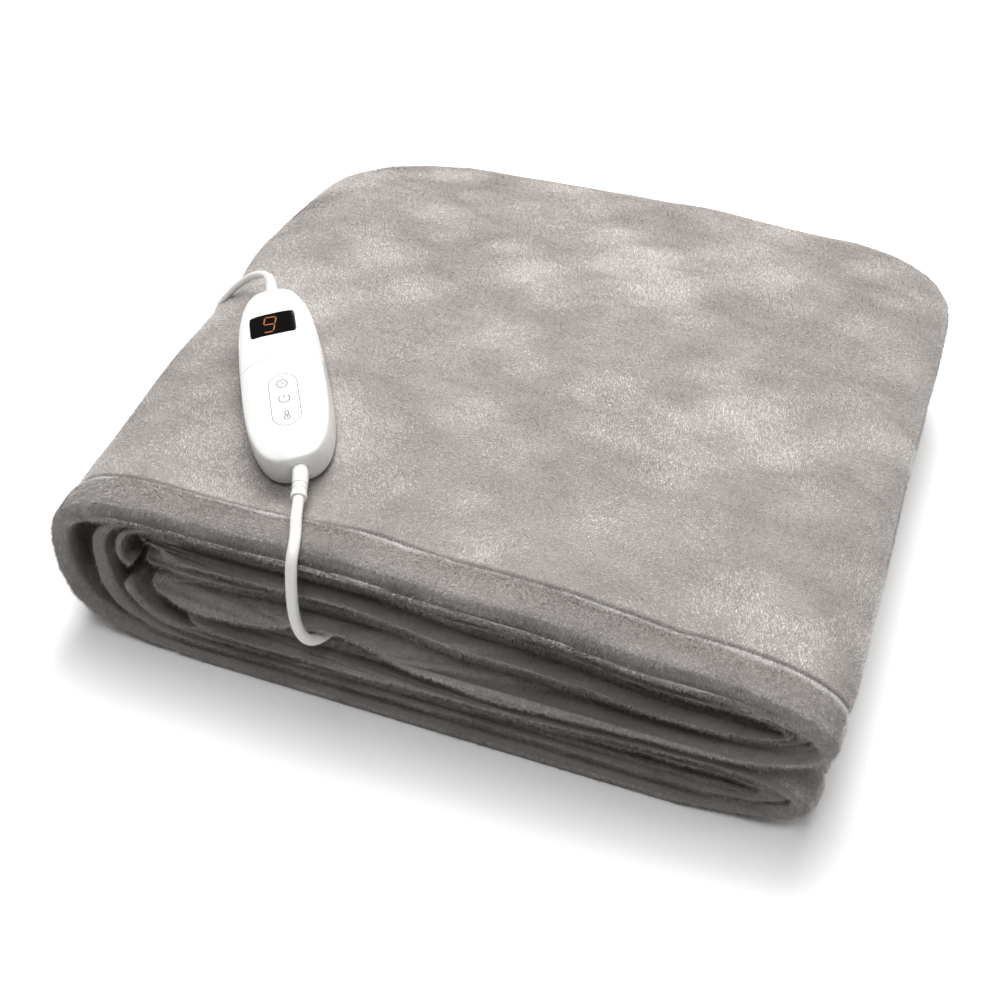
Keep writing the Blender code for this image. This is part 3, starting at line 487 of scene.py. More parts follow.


# Finishes

# Fleece: hand-sized patches where the nap was stroked one way or the other, finger strokes
# 12 mm wide, both painted light and shade of the nap, then clumps of tips, and fibre ends
PATCH_LENGTH = 60 * MM
STROKE_TURN = (0, 0, math.radians(35))
STROKE_SCALE = (30, 85, 60)
TIP_CLUMP_LENGTH = 2.2 * MM
FIBRE_LENGTH = 0.8 * MM
FIBRE_RELIEF = 0.6 * MM
# Faint cloudiness of moulded plastic, the glow of a lit segment, and the fibre of the backdrop
CLOUD_LENGTH = 30 * MM
GLOW_LENGTH = 2 * MM
PAPER_FIBRE = 4 * MM


def linear(code):
    """Linear colour of an sRGB hex value."""
    shares = [int(code[start:start + 2], 16) / 255 for start in (1, 3, 5)]
    return (*[s / 12.92 if s <= 0.04045 else ((s + 0.055) / 1.055) ** 2.4 for s in shares], 1)


def put(tree, kind, settings=None, links=None):
    """Add a node. Settings name its sockets or its own properties, and links what feeds a socket."""
    node = tree.nodes.new(kind)
    for name, value in (settings or {}).items():
        if isinstance(name, int) or name in node.inputs:
            node.inputs[name].default_value = value
        else:
            setattr(node, name, value)
    for name, source in (links or {}).items():
        tree.links.new(source, node.inputs[name])
    return node


def finish(name, colour, **sockets):
    """New material: its node tree and its shader, with an even colour for a start."""
    made = bpy.data.materials.new(name)
    made.use_nodes = True
    tree = made.node_tree
    shader = tree.nodes["Principled BSDF"]
    shader.inputs["Base Color"].default_value = linear(colour)
    for socket, value in sockets.items():
        shader.inputs[socket.replace("_", " ")].default_value = value
    return made, tree, shader


def two_tones(tree, share, dark, light):
    """Colour between two hex values, by a share from 0 to 1."""
    return put(
        tree, "ShaderNodeMix", {"data_type": "RGBA", 6: linear(dark), 7: linear(light)}, {0: share},
    ).outputs[2]


def stretched(tree, source, low, high):
    """A noise value spread over 0 to 1 between two of its levels."""
    return put(
        tree, "ShaderNodeMapRange", {"From Min": low, "From Max": high, "interpolation_type": "SMOOTHSTEP"},
        {"Value": source},
    ).outputs["Result"]


def coral_fleece(name, dark, light, tips):
    """Coral fleece: cut polyester microfibre pile, brushed, with the light and shade of its nap painted in
    lighter and darker strokes.
    """
    made, tree, shader = finish(
        name, light, Roughness=0.92, IOR=1.5, Specular_IOR_Level=0.18,
        Sheen_Weight=0.48, Sheen_Roughness=0.45, Sheen_Tint=linear("#F0EEEB"),
    )
    where = put(tree, "ShaderNodeTexCoord").outputs["Object"]
    patch = put(
        tree, "ShaderNodeTexNoise", {"Scale": 1 / PATCH_LENGTH, "Detail": 3, "Roughness": 0.55},
        {"Vector": where},
    )
    slanted = put(
        tree, "ShaderNodeMapping", {"Rotation": STROKE_TURN, "Scale": STROKE_SCALE}, {"Vector": where},
    )
    stroke = put(tree, "ShaderNodeTexNoise", {"Scale": 1, "Detail": 2}, {"Vector": slanted.outputs["Vector"]})
    clump = put(tree, "ShaderNodeTexNoise", {"Scale": 1 / TIP_CLUMP_LENGTH, "Detail": 2}, {"Vector": where})
    # Patches and strokes are painted light and shade of the nap; clumps are the tips' own tone
    patches = stretched(tree, patch.outputs["Fac"], 0.35, 0.65)
    strokes = stretched(tree, stroke.outputs["Fac"], 0.35, 0.65)
    clumps = stretched(tree, clump.outputs["Fac"], 0.3, 0.7)
    both = put(tree, "ShaderNodeMix", {"data_type": "FLOAT", 0: 0.4}, {2: patches, 3: strokes})
    all_three = put(tree, "ShaderNodeMix", {"data_type": "FLOAT", 0: 0.3}, {2: both.outputs[0], 3: clumps})
    colour = two_tones(tree, all_three.outputs[0], dark, light)
    if tips:
        # Fibre roots sit in the shade of their neighbours, and rows of the pile show along the edges
        shade = put(tree, "ShaderNodeAttribute", {"attribute_name": "pile_shade"}).outputs["Fac"]
        colour = put(
            tree, "ShaderNodeVectorMath", {"operation": "SCALE"}, {0: colour, "Scale": shade},
        ).outputs["Vector"]
    else:
        # Fibre ends too fine for geometry
        fibre = put(tree, "ShaderNodeTexNoise", {"Scale": 1 / FIBRE_LENGTH, "Detail": 2}, {"Vector": where})
        bump = put(
            tree, "ShaderNodeBump", {"Strength": 0.5, "Distance": FIBRE_RELIEF},
            {"Height": fibre.outputs["Fac"]},
        )
        tree.links.new(bump.outputs["Normal"], shader.inputs["Normal"])
    tree.links.new(colour, shader.inputs["Base Color"])
    return made


def moulded(name, dark, light, roughness, grain_mm, depth_mm, **sockets):
    """Moulded or drawn stuff: even colour with faint cloudiness, and a fine grain of its own."""
    made, tree, shader = finish(name, light, Roughness=roughness, **sockets)
    where = put(tree, "ShaderNodeTexCoord").outputs["Object"]
    cloud = put(tree, "ShaderNodeTexNoise", {"Scale": 1 / CLOUD_LENGTH, "Detail": 2}, {"Vector": where})
    colour = two_tones(tree, stretched(tree, cloud.outputs["Fac"], 0.3, 0.7), dark, light)
    tree.links.new(colour, shader.inputs["Base Color"])
    grain = put(tree, "ShaderNodeTexNoise", {"Scale": 1 / (grain_mm * MM), "Detail": 1}, {"Vector": where})
    bump = put(
        tree, "ShaderNodeBump", {"Strength": 0.35, "Distance": depth_mm * MM},
        {"Height": grain.outputs["Fac"]},
    )
    tree.links.new(bump.outputs["Normal"], shader.inputs["Normal"])
    return made


# The knitted ground: dull, and darker as painted shade of the pile over it, seen only between the blades
fleece_knit = coral_fleece("coral_fleece_knit", "#7F7976", "#98928E", False)
# The cut pile: light tips over shaded feet, with a soft glow where it is seen along its side
fleece_pile = coral_fleece("coral_fleece_cut_pile", "#BBB7B4", "#DED9D6", True)
# ABS, polished mould: crisp soft reflections
glossy_abs = moulded("glossy_white_abs", "#DDDDDB", "#E2E2E0", 0.16, 0.9, 0.004, IOR=1.53, Coat_Weight=0.3)
# Silicone membrane, moulded: satin, a touch greyer than the shell
satin_membrane = moulded("satin_white_membrane", "#DCDCDA", "#E1E1DF", 0.38, 0.4, 0.006, IOR=1.43)
# Flexible PVC, extruded: soft sheen, slightly warm
soft_pvc = moulded("soft_white_pvc", "#DAD9D5", "#E2E1DD", 0.36, 0.5, 0.01, IOR=1.54)
# Stiffer PVC, moulded round the pins: satin, a little lighter than the leads
plug_pvc = moulded("moulded_white_plug_pvc", "#E6E5E1", "#EFEEEA", 0.42, 0.35, 0.012, IOR=1.54)
# Smoked polycarbonate over the display, polished: near black and glossy
smoked_window = moulded("smoked_polycarbonate", "#060606", "#0B0A0A", 0.09, 1.2, 0.001, IOR=1.58)
# Pad-printed ink: thin, matt, mid grey, also used as painted shade down in the key pad's groove
print_ink_and_groove_shade = moulded("grey_print_ink_and_painted_groove_shade", "#6C6A69", "#777573", 0.6, 0.3, 0.002, IOR=1.5)
# Nickel-plated brass, turned: bright and slightly warm
nickel = moulded("nickel_plated_brass", "#C3C0B8", "#D2CFC8", 0.22, 0.25, 0.003, Metallic=1)
# Nylon sleeves, moulded on the pins' roots: black and dull
pin_sleeving = moulded("black_nylon_pin_sleeving", "#0E0E0F", "#161617", 0.45, 0.3, 0.004, IOR=1.53)
# Polyester sewing thread, twisted: matt, a shade darker than the pile
polyester_thread = moulded("grey_polyester_thread", "#7A7470", "#8D8783", 0.7, 0.25, 0.03, IOR=1.57)


def amber_segments():
    """Lit amber display segment: an even glow of its own under the smoked window."""
    made, tree, shader = finish("lit_amber_segment", "#3A1E08", Roughness=0.3, Emission_Strength=0.75)
    where = put(tree, "ShaderNodeTexCoord").outputs["Object"]
    glow = put(tree, "ShaderNodeTexNoise", {"Scale": 1 / GLOW_LENGTH, "Detail": 1}, {"Vector": where})
    colour = two_tones(tree, glow.outputs["Fac"], "#C9742A", "#DB8A3C")
    tree.links.new(colour, shader.inputs["Emission Color"])
    return made


amber = amber_segments()


# Making bodies


def add(name, data):
    """New object in the scene."""
    thing = bpy.data.objects.new(name, data)
    bpy.context.collection.objects.link(thing)
    return thing


def skin(rings, closed=False):
    """Points and faces of a body through rings of equal length; closed joins the last to the first."""
    count = len(rings[0])
    points = [p for ring in rings for p in ring]
    faces = []
    for number in range(len(rings) if closed else len(rings) - 1):
        near = number * count
        far = (number + 1) % len(rings) * count
        for a in range(count):
            b = (a + 1) % count
            faces.append((near + a, near + b, far + b, far + a))
    if not closed:
        faces.append(tuple(range(count)))
        faces.append(tuple(range(len(points) - count, len(points))))
    return points, faces


def body(name, skins, made_of, place=None, sharp=SHARP):
    """One object from several closed skins, its points put in place by a frame."""
    points = []
    faces = []
    for skin_points, skin_faces in skins:
        first = len(points)
        points += [place @ Vector(p) if place else Vector(p) for p in skin_points]
        faces += [tuple(first + corner for corner in face) for face in skin_faces]
    mesh = bpy.data.meshes.new(name)
    mesh.from_pydata([tuple(p) for p in points], [], faces)
    shape = bmesh.new()
    shape.from_mesh(mesh)
    bmesh.ops.recalc_face_normals(shape, faces=shape.faces)
    shape.to_mesh(mesh)
    shape.free()
    piece = add(name, mesh)
    mesh.materials.append(made_of)
    mesh.shade_smooth()
    mesh.set_sharp_from_angle(angle=math.radians(sharp))
    return piece


def dress(piece, slot, *nodes):
    """The piece rides with the part and stands for some of its nodes; the slot it is given is not used."""
    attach(piece, "root")
    if nodes:
        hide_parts(*nodes)


def housing_frame():
    """Axes of the controller: along it (far end +X), across it (left +Y) and up through it."""
    turn = Matrix.Rotation(HOUSING_YAW + math.pi / 2, 4, "Z")
    pitch = Matrix.Rotation(-HOUSING_PITCH, 4, "Y")
    roll = Matrix.Rotation(HOUSING_ROLL, 4, "X")
    return Matrix.Translation(HOUSING_CENTRE) @ turn @ pitch @ roll


def lead_exit(end):
    """Frame in which a lead leaves the housing along +X, at its near (-1) or far (+1) end."""
    side = NEAR_EXIT_SIDE if end < 0 else 0
    out = Matrix.Translation((end * HOUSING_LENGTH / 2, side, RELIEF_HEIGHT))
    facing = Matrix.Rotation(0 if end > 0 else math.pi, 4, "Z")
    return housing_frame() @ out @ facing


# Camera first, then the cords


def set_camera():
    """The photograph's view."""
    data = bpy.data.cameras.new("studio_camera")
    data.sensor_width = SENSOR
    data.lens = FOCAL_PIXELS * SENSOR / IMAGE_SIDE
    camera = add("studio_camera", data)
    camera.location = CAMERA_PLACE
    camera.rotation_euler = (math.pi / 2 - CAMERA_ELEVATION, 0, CAMERA_AZIMUTH)
    bpy.context.scene.camera = camera


def coil_route():
    """Points of the wound lead, in millimetres: three turns flat, three on them and one on top."""
    points = []
    for number in range(1, round(COIL_TURNS * COIL_POINTS_A_TURN)):
        turns = number / COIL_POINTS_A_TURN
        radius = COIL_ENTRY_RADIUS
        height = COIL_FLOOR_HEIGHT
        for step in COIL_STEPS:
            share = blend(step.start, step.end, turns)
            radius += (step.radius - radius) * share
            height += (step.height - height) * share
        angle = COIL_ARRIVAL + 2 * math.pi * turns
        points.append((
            COIL_CENTRE[0] + radius * math.cos(angle), COIL_CENTRE[1] + radius * math.sin(angle), height,
        ))
    return points


def lay_cord(name, start, route, radius):
    """Round cord on one smooth curve from the housing through a route in millimetres."""
    curve = bpy.data.curves.new(name, "CURVE")
    curve.dimensions = "3D"
    curve.bevel_depth = radius
    curve.bevel_resolution = CORD_ROUNDNESS
    curve.resolution_u = CORD_RESOLUTION
    curve.use_fill_caps = True
    spline = curve.splines.new("BEZIER")
    places = [start] + [Vector(point) * MM for point in route]
    spline.bezier_points.add(len(places) - 1)
    for knot, place in zip(spline.bezier_points, places):
        knot.co = place
        knot.handle_left_type = "AUTO"
        knot.handle_right_type = "AUTO"
    curve.materials.append(soft_pvc)
    return add(name, curve)


def make_cords():
    """The short lead to the cloth, and the mains lead with its coil and plug."""
    near_exit = lead_exit(-1).translation
    far_exit = lead_exit(1).translation
    short = lay_cord("blanket_lead_cord", near_exit, BLANKET_LEAD, BLANKET_LEAD_RADIUS)
    dress(short, "white_sleeve", "blanket_lead")
    route = MAINS_LEAD + coil_route() + LEAD_TAIL
    mains = lay_cord("mains_lead_cord", far_exit, route, MAINS_LEAD_RADIUS)
    dress(mains, "white_sleeve", "mains_lead", "lead_coil", "mains_lead_tail")
    plug, pins = make_plug()


def bulged(angle, power):
    """Point of a rounded square of half side 1 at an angle round it."""
    along_share = math.copysign(abs(math.cos(angle)) ** (2 / power), math.cos(angle))
    across_share = math.copysign(abs(math.sin(angle)) ** (2 / power), math.sin(angle))
    return along_share, across_share


def turned(profile, sides):
    """Round skin about +X from ribs in millimetres."""
    turns = [2 * math.pi * k / sides for k in range(sides)]
    return skin([
        [Vector((rib.at, rib.radius * math.cos(turn), rib.radius * math.sin(turn))) * MM for turn in turns]
        for rib in profile
    ])


def make_plug():
    """Flat two-pin plug lying on its wide face."""
    place = Matrix.Translation(PLUG_REAR + Vector((PIECE_GAP * MM, 0, 0)))
    rings = []
    for row in PLUG_PROFILE:
        outline = []
        for side in range(PLUG_SIDES):
            across, up = bulged(2 * math.pi * side / PLUG_SIDES, PLUG_POWER)
            wide = across * row.width * PLUG_WIDTH / 2
            outline.append(Vector((row.along * PLUG_LENGTH, wide, up * row.height * PLUG_HEIGHT / 2)))
        rings.append(outline)
    plug = body("plug_moulding", [skin(rings)], plug_pvc, place)
    dress(plug, "plug_shell", "plug_body")
    pins = []
    for side, letter in ((-1, "a"), (1, "b")):
        out = Matrix.Translation((PLUG_LENGTH, side * PIN_PITCH / 2, 0))
        metal = body(f"pin_{letter}_plated", [turned(PIN_METAL, PIN_SIDES)], nickel, place @ out)
        dress(metal, "pin_metal", f"plug_pin_{letter}")
        sleeve = body(f"pin_{letter}_sleeving", [turned(PIN_SLEEVE, PIN_SIDES)], pin_sleeving, place @ out)
        dress(sleeve, None)
        pins += [metal, sleeve]
    return plug, pins


# Controller


def housing_outline(level):
    """Level outline of the controller, a given distance inside its widest one."""
    outline = []
    for side in range(HOUSING_SIDES):
        along_share, across_share = bulged(2 * math.pi * side / HOUSING_SIDES, HOUSING_CORNER_POWER)
        x = along_share * (HOUSING_LENGTH / 2 - level.inset * MM)
        share = 0.5 + x / HOUSING_LENGTH
        width = HOUSING_NEAR_WIDTH + (HOUSING_FAR_WIDTH - HOUSING_NEAR_WIDTH) * share
        outline.append(Vector((x, across_share * (width / 2 - level.inset * MM), level.height * MM)))
    return outline


def rounded_outline(place, size, corner):
    """Rectangle with rounded corners in the controller's frame, in millimetres."""
    outline = []
    for turn in range(4):
        middle = math.pi / 4 + turn * math.pi / 2
        x = place[0] + math.copysign(size[0] / 2 - corner, math.cos(middle))
        y = place[1] + math.copysign(size[1] / 2 - corner, math.sin(middle))
        for step in range(CORNER_POINTS + 1):
            angle = (turn + step / CORNER_POINTS) * math.pi / 2
            outline.append((x + corner * math.cos(angle), y + corner * math.sin(angle)))
    return outline


def upright(outline, low, high):
    """Skin over an outline of the controller's top, between two heights, in millimetres."""
    return skin([[Vector((x, y, height)) * MM for x, y in outline] for height in (low, high)])


def slab(place, size, corner, low, high):
    """Flat skin over a rounded rectangle, between two heights."""
    return upright(rounded_outline(place, size, corner), low, high)


def step_arc():
    """The shallow arc across the top, beyond which it lies a little lower."""
    x, y, radius = STEP_ARC
    return arc((x, y), radius, STEP_ARC_HALF_ANGLE, -STEP_ARC_HALF_ANGLE)


def beyond_arc():
    """Skin of the room on the display's side of the arc."""
    outline = step_arc()
    outline.append((STEP_FAR_END, outline[-1][1]))
    outline.append((STEP_FAR_END, outline[0][1]))
    return upright(outline, CUT_FLOOR, HOUSING_HEIGHT + CUT_RISE)


def carve(piece, tools, operation="DIFFERENCE"):
    """Take each tool's shape out of the piece for good, or keep only what lies in it."""
    for tool in tools:
        modifier = piece.modifiers.new("cut", "BOOLEAN")
        modifier.operation = operation
        modifier.solver = "EXACT"
        modifier.object = tool
    seen = piece.evaluated_get(bpy.context.evaluated_depsgraph_get())
    carved = bpy.data.meshes.new_from_object(seen)
    piece.modifiers.clear()
    piece.data = carved
    carved.set_sharp_from_angle(angle=math.radians(CARVED_SHARP))
    for tool in tools:
        bpy.data.objects.remove(tool)


def shell_form(name, drop):
    """The upper moulding's full form, lowered by so many millimetres."""
    rings = [housing_outline(Level(level.inset, level.height - drop)) for level in UPPER_SHELL]
    return body(name, [skin(rings)], glossy_abs, housing_frame())


def wider(size, gap):
    """A length and a width, each with a gap more on both sides."""
    return [side + 2 * gap for side in size]


def ribbon(points, width, low, high, closed=False):
    """Flat printed line through points (x, y) of the controller's top, in millimetres."""
    rings = []
    for number, point in enumerate(points):
        if closed:
            before = points[number - 1]
            after = points[(number + 1) % len(points)]
        else:
            before = points[max(0, number - 1)]
            after = points[min(len(points) - 1, number + 1)]
        direction = (Vector(after) - Vector(before)).normalized()
        across = Vector((-direction.y, direction.x)) * width / 2
        left = Vector(point) + across
        right = Vector(point) - across
        rings.append([
            Vector((*left, low)) * MM, Vector((*right, low)) * MM,
            Vector((*right, high)) * MM, Vector((*left, high)) * MM,
        ])
    return skin(rings, closed)


def arc(centre, radius, start, end):
    """Points (x, y) of an arc of the controller's top, from one angle to another."""
    return [
        (
            centre[0] + radius * math.cos(start + (end - start) * k / SIGN_POINTS),
            centre[1] + radius * math.sin(start + (end - start) * k / SIGN_POINTS),
        )
        for k in range(SIGN_POINTS + 1)
    ]


def key_signs():
    """Printed clock, power sign and thermometer, upright when the display is at the top."""
    low = HOUSING_HEIGHT - FIGURE_SINK
    high = HOUSING_HEIGHT + PRINT_THICKNESS
    tip = STEM_LENGTH + STEM_TIP
    half = BULB_RADIUS * math.sin(BULB_GAP)
    tip_half = half * STEM_TIP_WIDTH
    stem = [(STEM_LENGTH, -half), (tip, -tip_half), (tip, tip_half), (STEM_LENGTH, half)]

    def line(centre, points, width=ICON_STROKE, closed=False):
        placed = [(centre[0] + x, centre[1] + y) for x, y in points]
        return ribbon(placed, width, low, high, closed)

    def open_ring(radius, gap):
        return arc((0, 0), radius, gap, 2 * math.pi - gap)

    return [
        line(CLOCK_CENTRE, open_ring(SIGN_RADIUS, 0)[:-1], closed=True),
        line(CLOCK_CENTRE, CLOCK_HANDS),
        line(POWER_CENTRE, open_ring(SIGN_RADIUS, POWER_GAP)),
        line(POWER_CENTRE, POWER_BAR),
        line(THERMOMETER_CENTRE, open_ring(BULB_RADIUS, BULB_GAP) + stem, closed=True),
        line(THERMOMETER_CENTRE, [(0, 0), (STEM_LENGTH * COLUMN_SHARE, 0)], ICON_STROKE * COLUMN_WIDTH),
    ]


def make_relief(name, end, ribs, route, node, notched):
    """Moulded sleeve that follows the start of its cord, with grooves that let it flex."""
    place = lead_exit(end)
    start = place @ Vector((ribs[0].at * MM, 0, 0))
    knots = [start, place.translation] + [Vector(point) * MM for point in route]
    fine = soft_curve(knots)
    distance = [0.0]
    for a, b in zip(fine, fine[1:]):
        distance.append(distance[-1] + (b - a).length)
    up = place.to_3x3() @ Vector((0, 0, 1))
    rings = []
    places = [rib.at for rib in ribs]
    wanted = sorted(set(places + list(np.arange(places[0], places[-1], RELIEF_RING_STEP))))
    for at in wanted:
        away = (at - places[0]) * MM
        number = max(1, sum(1 for d in distance if d < away))
        number = min(number, len(fine) - 2)
        axis = (fine[number + 1] - fine[number - 1]).normalized()
        share = (away - distance[number - 1]) / (distance[number] - distance[number - 1])
        centre = fine[number - 1].lerp(fine[number], share)
        side = axis.cross(up).normalized()
        top = side.cross(axis)
        radius = straight(places, [rib.radius for rib in ribs], at)
        outline = []
        for k in range(RELIEF_SIDES):
            angle = 2 * math.pi * k / RELIEF_SIDES
            across = math.remainder(angle - math.pi / 2, 2 * math.pi) / NOTCH_SPREAD
            dip = 0
            for notch in NOTCHES if notched else ():
                dip += NOTCH_DEPTH * math.exp(-((at - notch) / NOTCH_REACH) ** 2 - across ** 2)
            outline.append(centre + (side * math.cos(angle) + top * math.sin(angle)) * (radius - dip) * MM)
        rings.append(outline)
    relief = body(name, [skin(rings)], soft_pvc, sharp=SLEEVE_SHARP)
    dress(relief, "white_sleeve", node)


def straight(places, values, where):
    """Value at one place of a broken line through the given ones."""
    for low, high, first, last in zip(places, places[1:], values, values[1:]):
        if where <= high:
            return first + (last - first) * (where - low) / (high - low)
    return values[-1]


def soft_curve(route):
    """Close points on a soft curve through the route's own points."""
    fine = []
    ends = [route[0] * 2 - route[1]] + list(route) + [route[-1] * 2 - route[-2]]
    for a, b, c, d in zip(ends, ends[1:], ends[2:], ends[3:]):
        for step in range(CURVE_STEPS):
            t = step / CURVE_STEPS
            fine.append(
                b + (c - a) * (t / 2) + (a * 2 - b * 5 + c * 4 - d) * (t * t / 2)
                + (b * 3 - a - c * 3 + d) * (t ** 3 / 2)
            )
    return fine


def make_controller():
    """Both mouldings, the window, the key pad, their signs and the two sleeves."""
    place = housing_frame()
    rings = [housing_outline(level) for level in LOWER_SHELL]
    lower = body("lower_moulding", [skin(rings)], glossy_abs, place)
    dress(lower, "white_shell", "controller_lower_shell")
    upper = shell_form("upper_moulding", 0)
    above = HOUSING_HEIGHT + CUT_RISE
    face = HOUSING_HEIGHT - STEP_DROP
    lowered = body("lowered_side", [beyond_arc()], glossy_abs, place)
    carve(lowered, [shell_form("lowered_form", STEP_DROP)])
    groove = body("groove", [ribbon(step_arc(), STEP_GROOVE_WIDTH, CUT_FLOOR, above)], glossy_abs, place)
    carve(groove, [shell_form("groove_form", STEP_DROP + STEP_GROOVE_DEPTH)])
    display_low = face - DISPLAY_DEPTH
    pad_low = HOUSING_HEIGHT - KEY_PAD_DEPTH
    gap = PIECE_GAP / 2
    display_pocket = slab(
        DISPLAY_PLACE, wider(DISPLAY_SIZE, gap), DISPLAY_CORNER + gap, display_low - PIECE_GAP, above,
    )
    pad_pocket = slab(
        KEY_PAD_PLACE, wider(KEY_PAD_SIZE, PAD_GAP), KEY_PAD_CORNER + PAD_GAP, pad_low - PIECE_GAP, above,
    )
    pockets = [body("pocket", [pocket], glossy_abs, place) for pocket in (display_pocket, pad_pocket)]
    bore = turned([Rib(-BORE_DEPTH, BORE_RADIUS), Rib(BORE_REACH, BORE_RADIUS)], BORE_SIDES)
    bores = [body("bore", [bore], glossy_abs, lead_exit(end)) for end in (-1, 1)]
    carve(upper, [lowered, groove, *pockets, *bores])
    dress(upper, "white_shell", "controller_upper_shell")
    window_slab = slab(DISPLAY_PLACE, DISPLAY_SIZE, DISPLAY_CORNER, display_low, above)
    window = body("smoked_window", [window_slab], smoked_window, place)
    carve(window, [shell_form("window_form", STEP_DROP)], "INTERSECT")
    dress(window, "display_black", "display_window")
    pad_slab = slab(KEY_PAD_PLACE, KEY_PAD_SIZE, KEY_PAD_CORNER, pad_low, above)
    pad = body("key_membrane", [pad_slab], satin_membrane, place)
    carve(pad, [shell_form("pad_form", 0)], "INTERSECT")
    dress(pad, "key_membrane", "key_pad")
    # A grey band down in the gap round the key pad: painted shade of that groove
    rim = rounded_outline(KEY_PAD_PLACE, wider(KEY_PAD_SIZE, PAD_GAP / 2), KEY_PAD_CORNER + PAD_GAP / 2)
    groove_shade = body(
        "pad_groove_painted_shade", [ribbon(rim, PAD_GAP, pad_low, HOUSING_HEIGHT - GROOVE_SHADE_SINK, True)], print_ink_and_groove_shade, place,
    )
    dress(groove_shade, None)
    signs = body("key_signs", key_signs(), print_ink_and_groove_shade, place)
    dress(signs, None)
    low = face - FIGURE_SINK
    high = face + PRINT_THICKNESS
    strokes = [[(s.from_x, s.from_y), (s.to_x, s.to_y)] for s in FIGURE_NINE]
    segments = [ribbon(stroke, FIGURE_STROKE, low, high) for stroke in strokes]
    figure = body("lit_figure", segments, amber, place)
    dress(figure, None)
    make_relief("near_relief_sleeve", -1, NEAR_RELIEF, BLANKET_LEAD, "relief_near", True)
    make_relief("far_relief_sleeve", 1, FAR_RELIEF, MAINS_LEAD, "relief_far", False)


# Folded cloth


def line_height(name, x):
    """Height of a line between two layers."""
    row = LINES[name]
    return along(LINE_PLACES, [row.left, row.mid_left, row.mid_right, row.right], x) * MM


def line_open(name, x):
    """How far the two layers stand apart there."""
    row = LINES[name]
    opens = [row.open_left, row.open_mid_left, row.open_mid_right, row.open_right]
    return along(LINE_PLACES, opens, x) * MM


def face_height(name, side, x):
    """Height of a layer's face, above (+1) or below (-1) the line next to it."""
    return line_height(name, x) + side * line_open(name, x) / 2


def layer_thickness(name, under, x):
    """Thickness of the layer that lies under or on a line."""
    names = list(LINES)
    other = names[names.index(name) + (1 if under else -1)]
    side = -1 if under else 1
    return side * (face_height(other, -side, x) - face_height(name, side, x))


# Point of the section: how far back its layer's edge lies, how round that is, whether it is on the
# outside, and which way it gives where the short lead goes in
Point = namedtuple("Point", "x z back rounding outer tuck")


class Section:
    """Outline of the folded cloth across the block, as points that go round once."""

    def __init__(self):
        self.points = []

    def add(self, x, z, back=None, rounding=None, outer=False, tuck=0):
        self.points.append(Point(x, z, back, rounding, outer, tuck))

    def run(self, name, side, layer, rightwards, first=RUN_LEFT):
        """Follow one face of a layer between the block's two ends."""
        outer = name in ("top", "bottom")
        spacing = LAYER_SPACING
        if name == "top":
            spacing = TOP_SPACING
        if name == "between_rolls":
            spacing = TUCK_SPACING
        steps = round((RUN_RIGHT - first) / spacing)
        places = [first + (RUN_RIGHT - first) * k / steps for k in range(steps + 1)]
        tuck = side if name == "between_rolls" else 0
        under = side < 0 or name == "top"
        back = EDGES[layer].upper if under else EDGES[layer].lower
        most, share = UPPER_ROUNDING if under else LOWER_ROUNDING
        for x in places if rightwards else reversed(places):
            rounding = min(most, share * layer_thickness(name, under, x) / MM)
            self.add(x, face_height(name, side, x), back, rounding, outer, tuck)

    def turn(self, start, end, nose, power=ROUND_POWER, steps=TURN_STEPS, outer=False):
        """Go round an end from start (x, z) to end (x, z); nose names the turn's furthest x."""
        furthest = NOSES[nose]
        middle = (start[1] + end[1]) / 2
        half = (start[1] - end[1]) / 2
        for step in range(1, steps):
            angle = math.pi * step / steps
            reach = math.sin(angle) ** (2 / power)
            level = math.copysign(abs(math.cos(angle)) ** (2 / power), math.cos(angle))
            share = step / steps
            x = start[0] + (end[0] - start[0]) * share
            self.add(x + (furthest - x) * reach, middle + half * level, outer=outer)

    def curl(self, knots, half_thickness, layer):
        """Go out along one side of a curled free end, round its tip and back along the other."""
        route = [Vector((knot.x, 0, knot.z)) * MM for knot in knots]
        fine = soft_curve(route)[::CURVE_STEPS // CURL_FINENESS]
        back = EDGES[layer].lower
        rounding = CURL_ROUNDING * half_thickness / MM
        sides = []
        last = len(fine) - 1
        for number, point in enumerate(fine):
            ahead = fine[min(last, number + 1)] - fine[max(0, number - 1)]
            direction = Vector((ahead.x, ahead.z)).normalized()
            across = Vector((-direction.y, direction.x)) * half_thickness
            sides.append((Vector((point.x, point.z)), across, direction))
        for point, across, direction in sides:
            self.add(*(point + across), back, rounding)
        point, across, direction = sides[-1]
        for share in (0.5, 0, -0.5):
            tip = point + across * share + direction * half_thickness * CURL_TIP * (1 - share * share)
            self.add(*tip, back, rounding)
        for point, across, direction in reversed(sides):
            self.add(*(point - across), back, rounding)

    def filled(self):
        """The points, with what the turns left open taken over from the runs on both sides."""
        known = [number for number, point in enumerate(self.points) if point.back is not None]
        places = list(self.points)
        count = len(places)
        for low, high in zip(known, known[1:] + [known[0] + count]):
            first = self.points[low]
            last = self.points[high % count]
            for number in range(low + 1, high):
                share = (number - low) / (high - low)
                places[number % count] = self.points[number % count]._replace(
                    back=first.back + (last.back - first.back) * share,
                    rounding=first.rounding + (last.rounding - first.rounding) * share,
                )
        return places


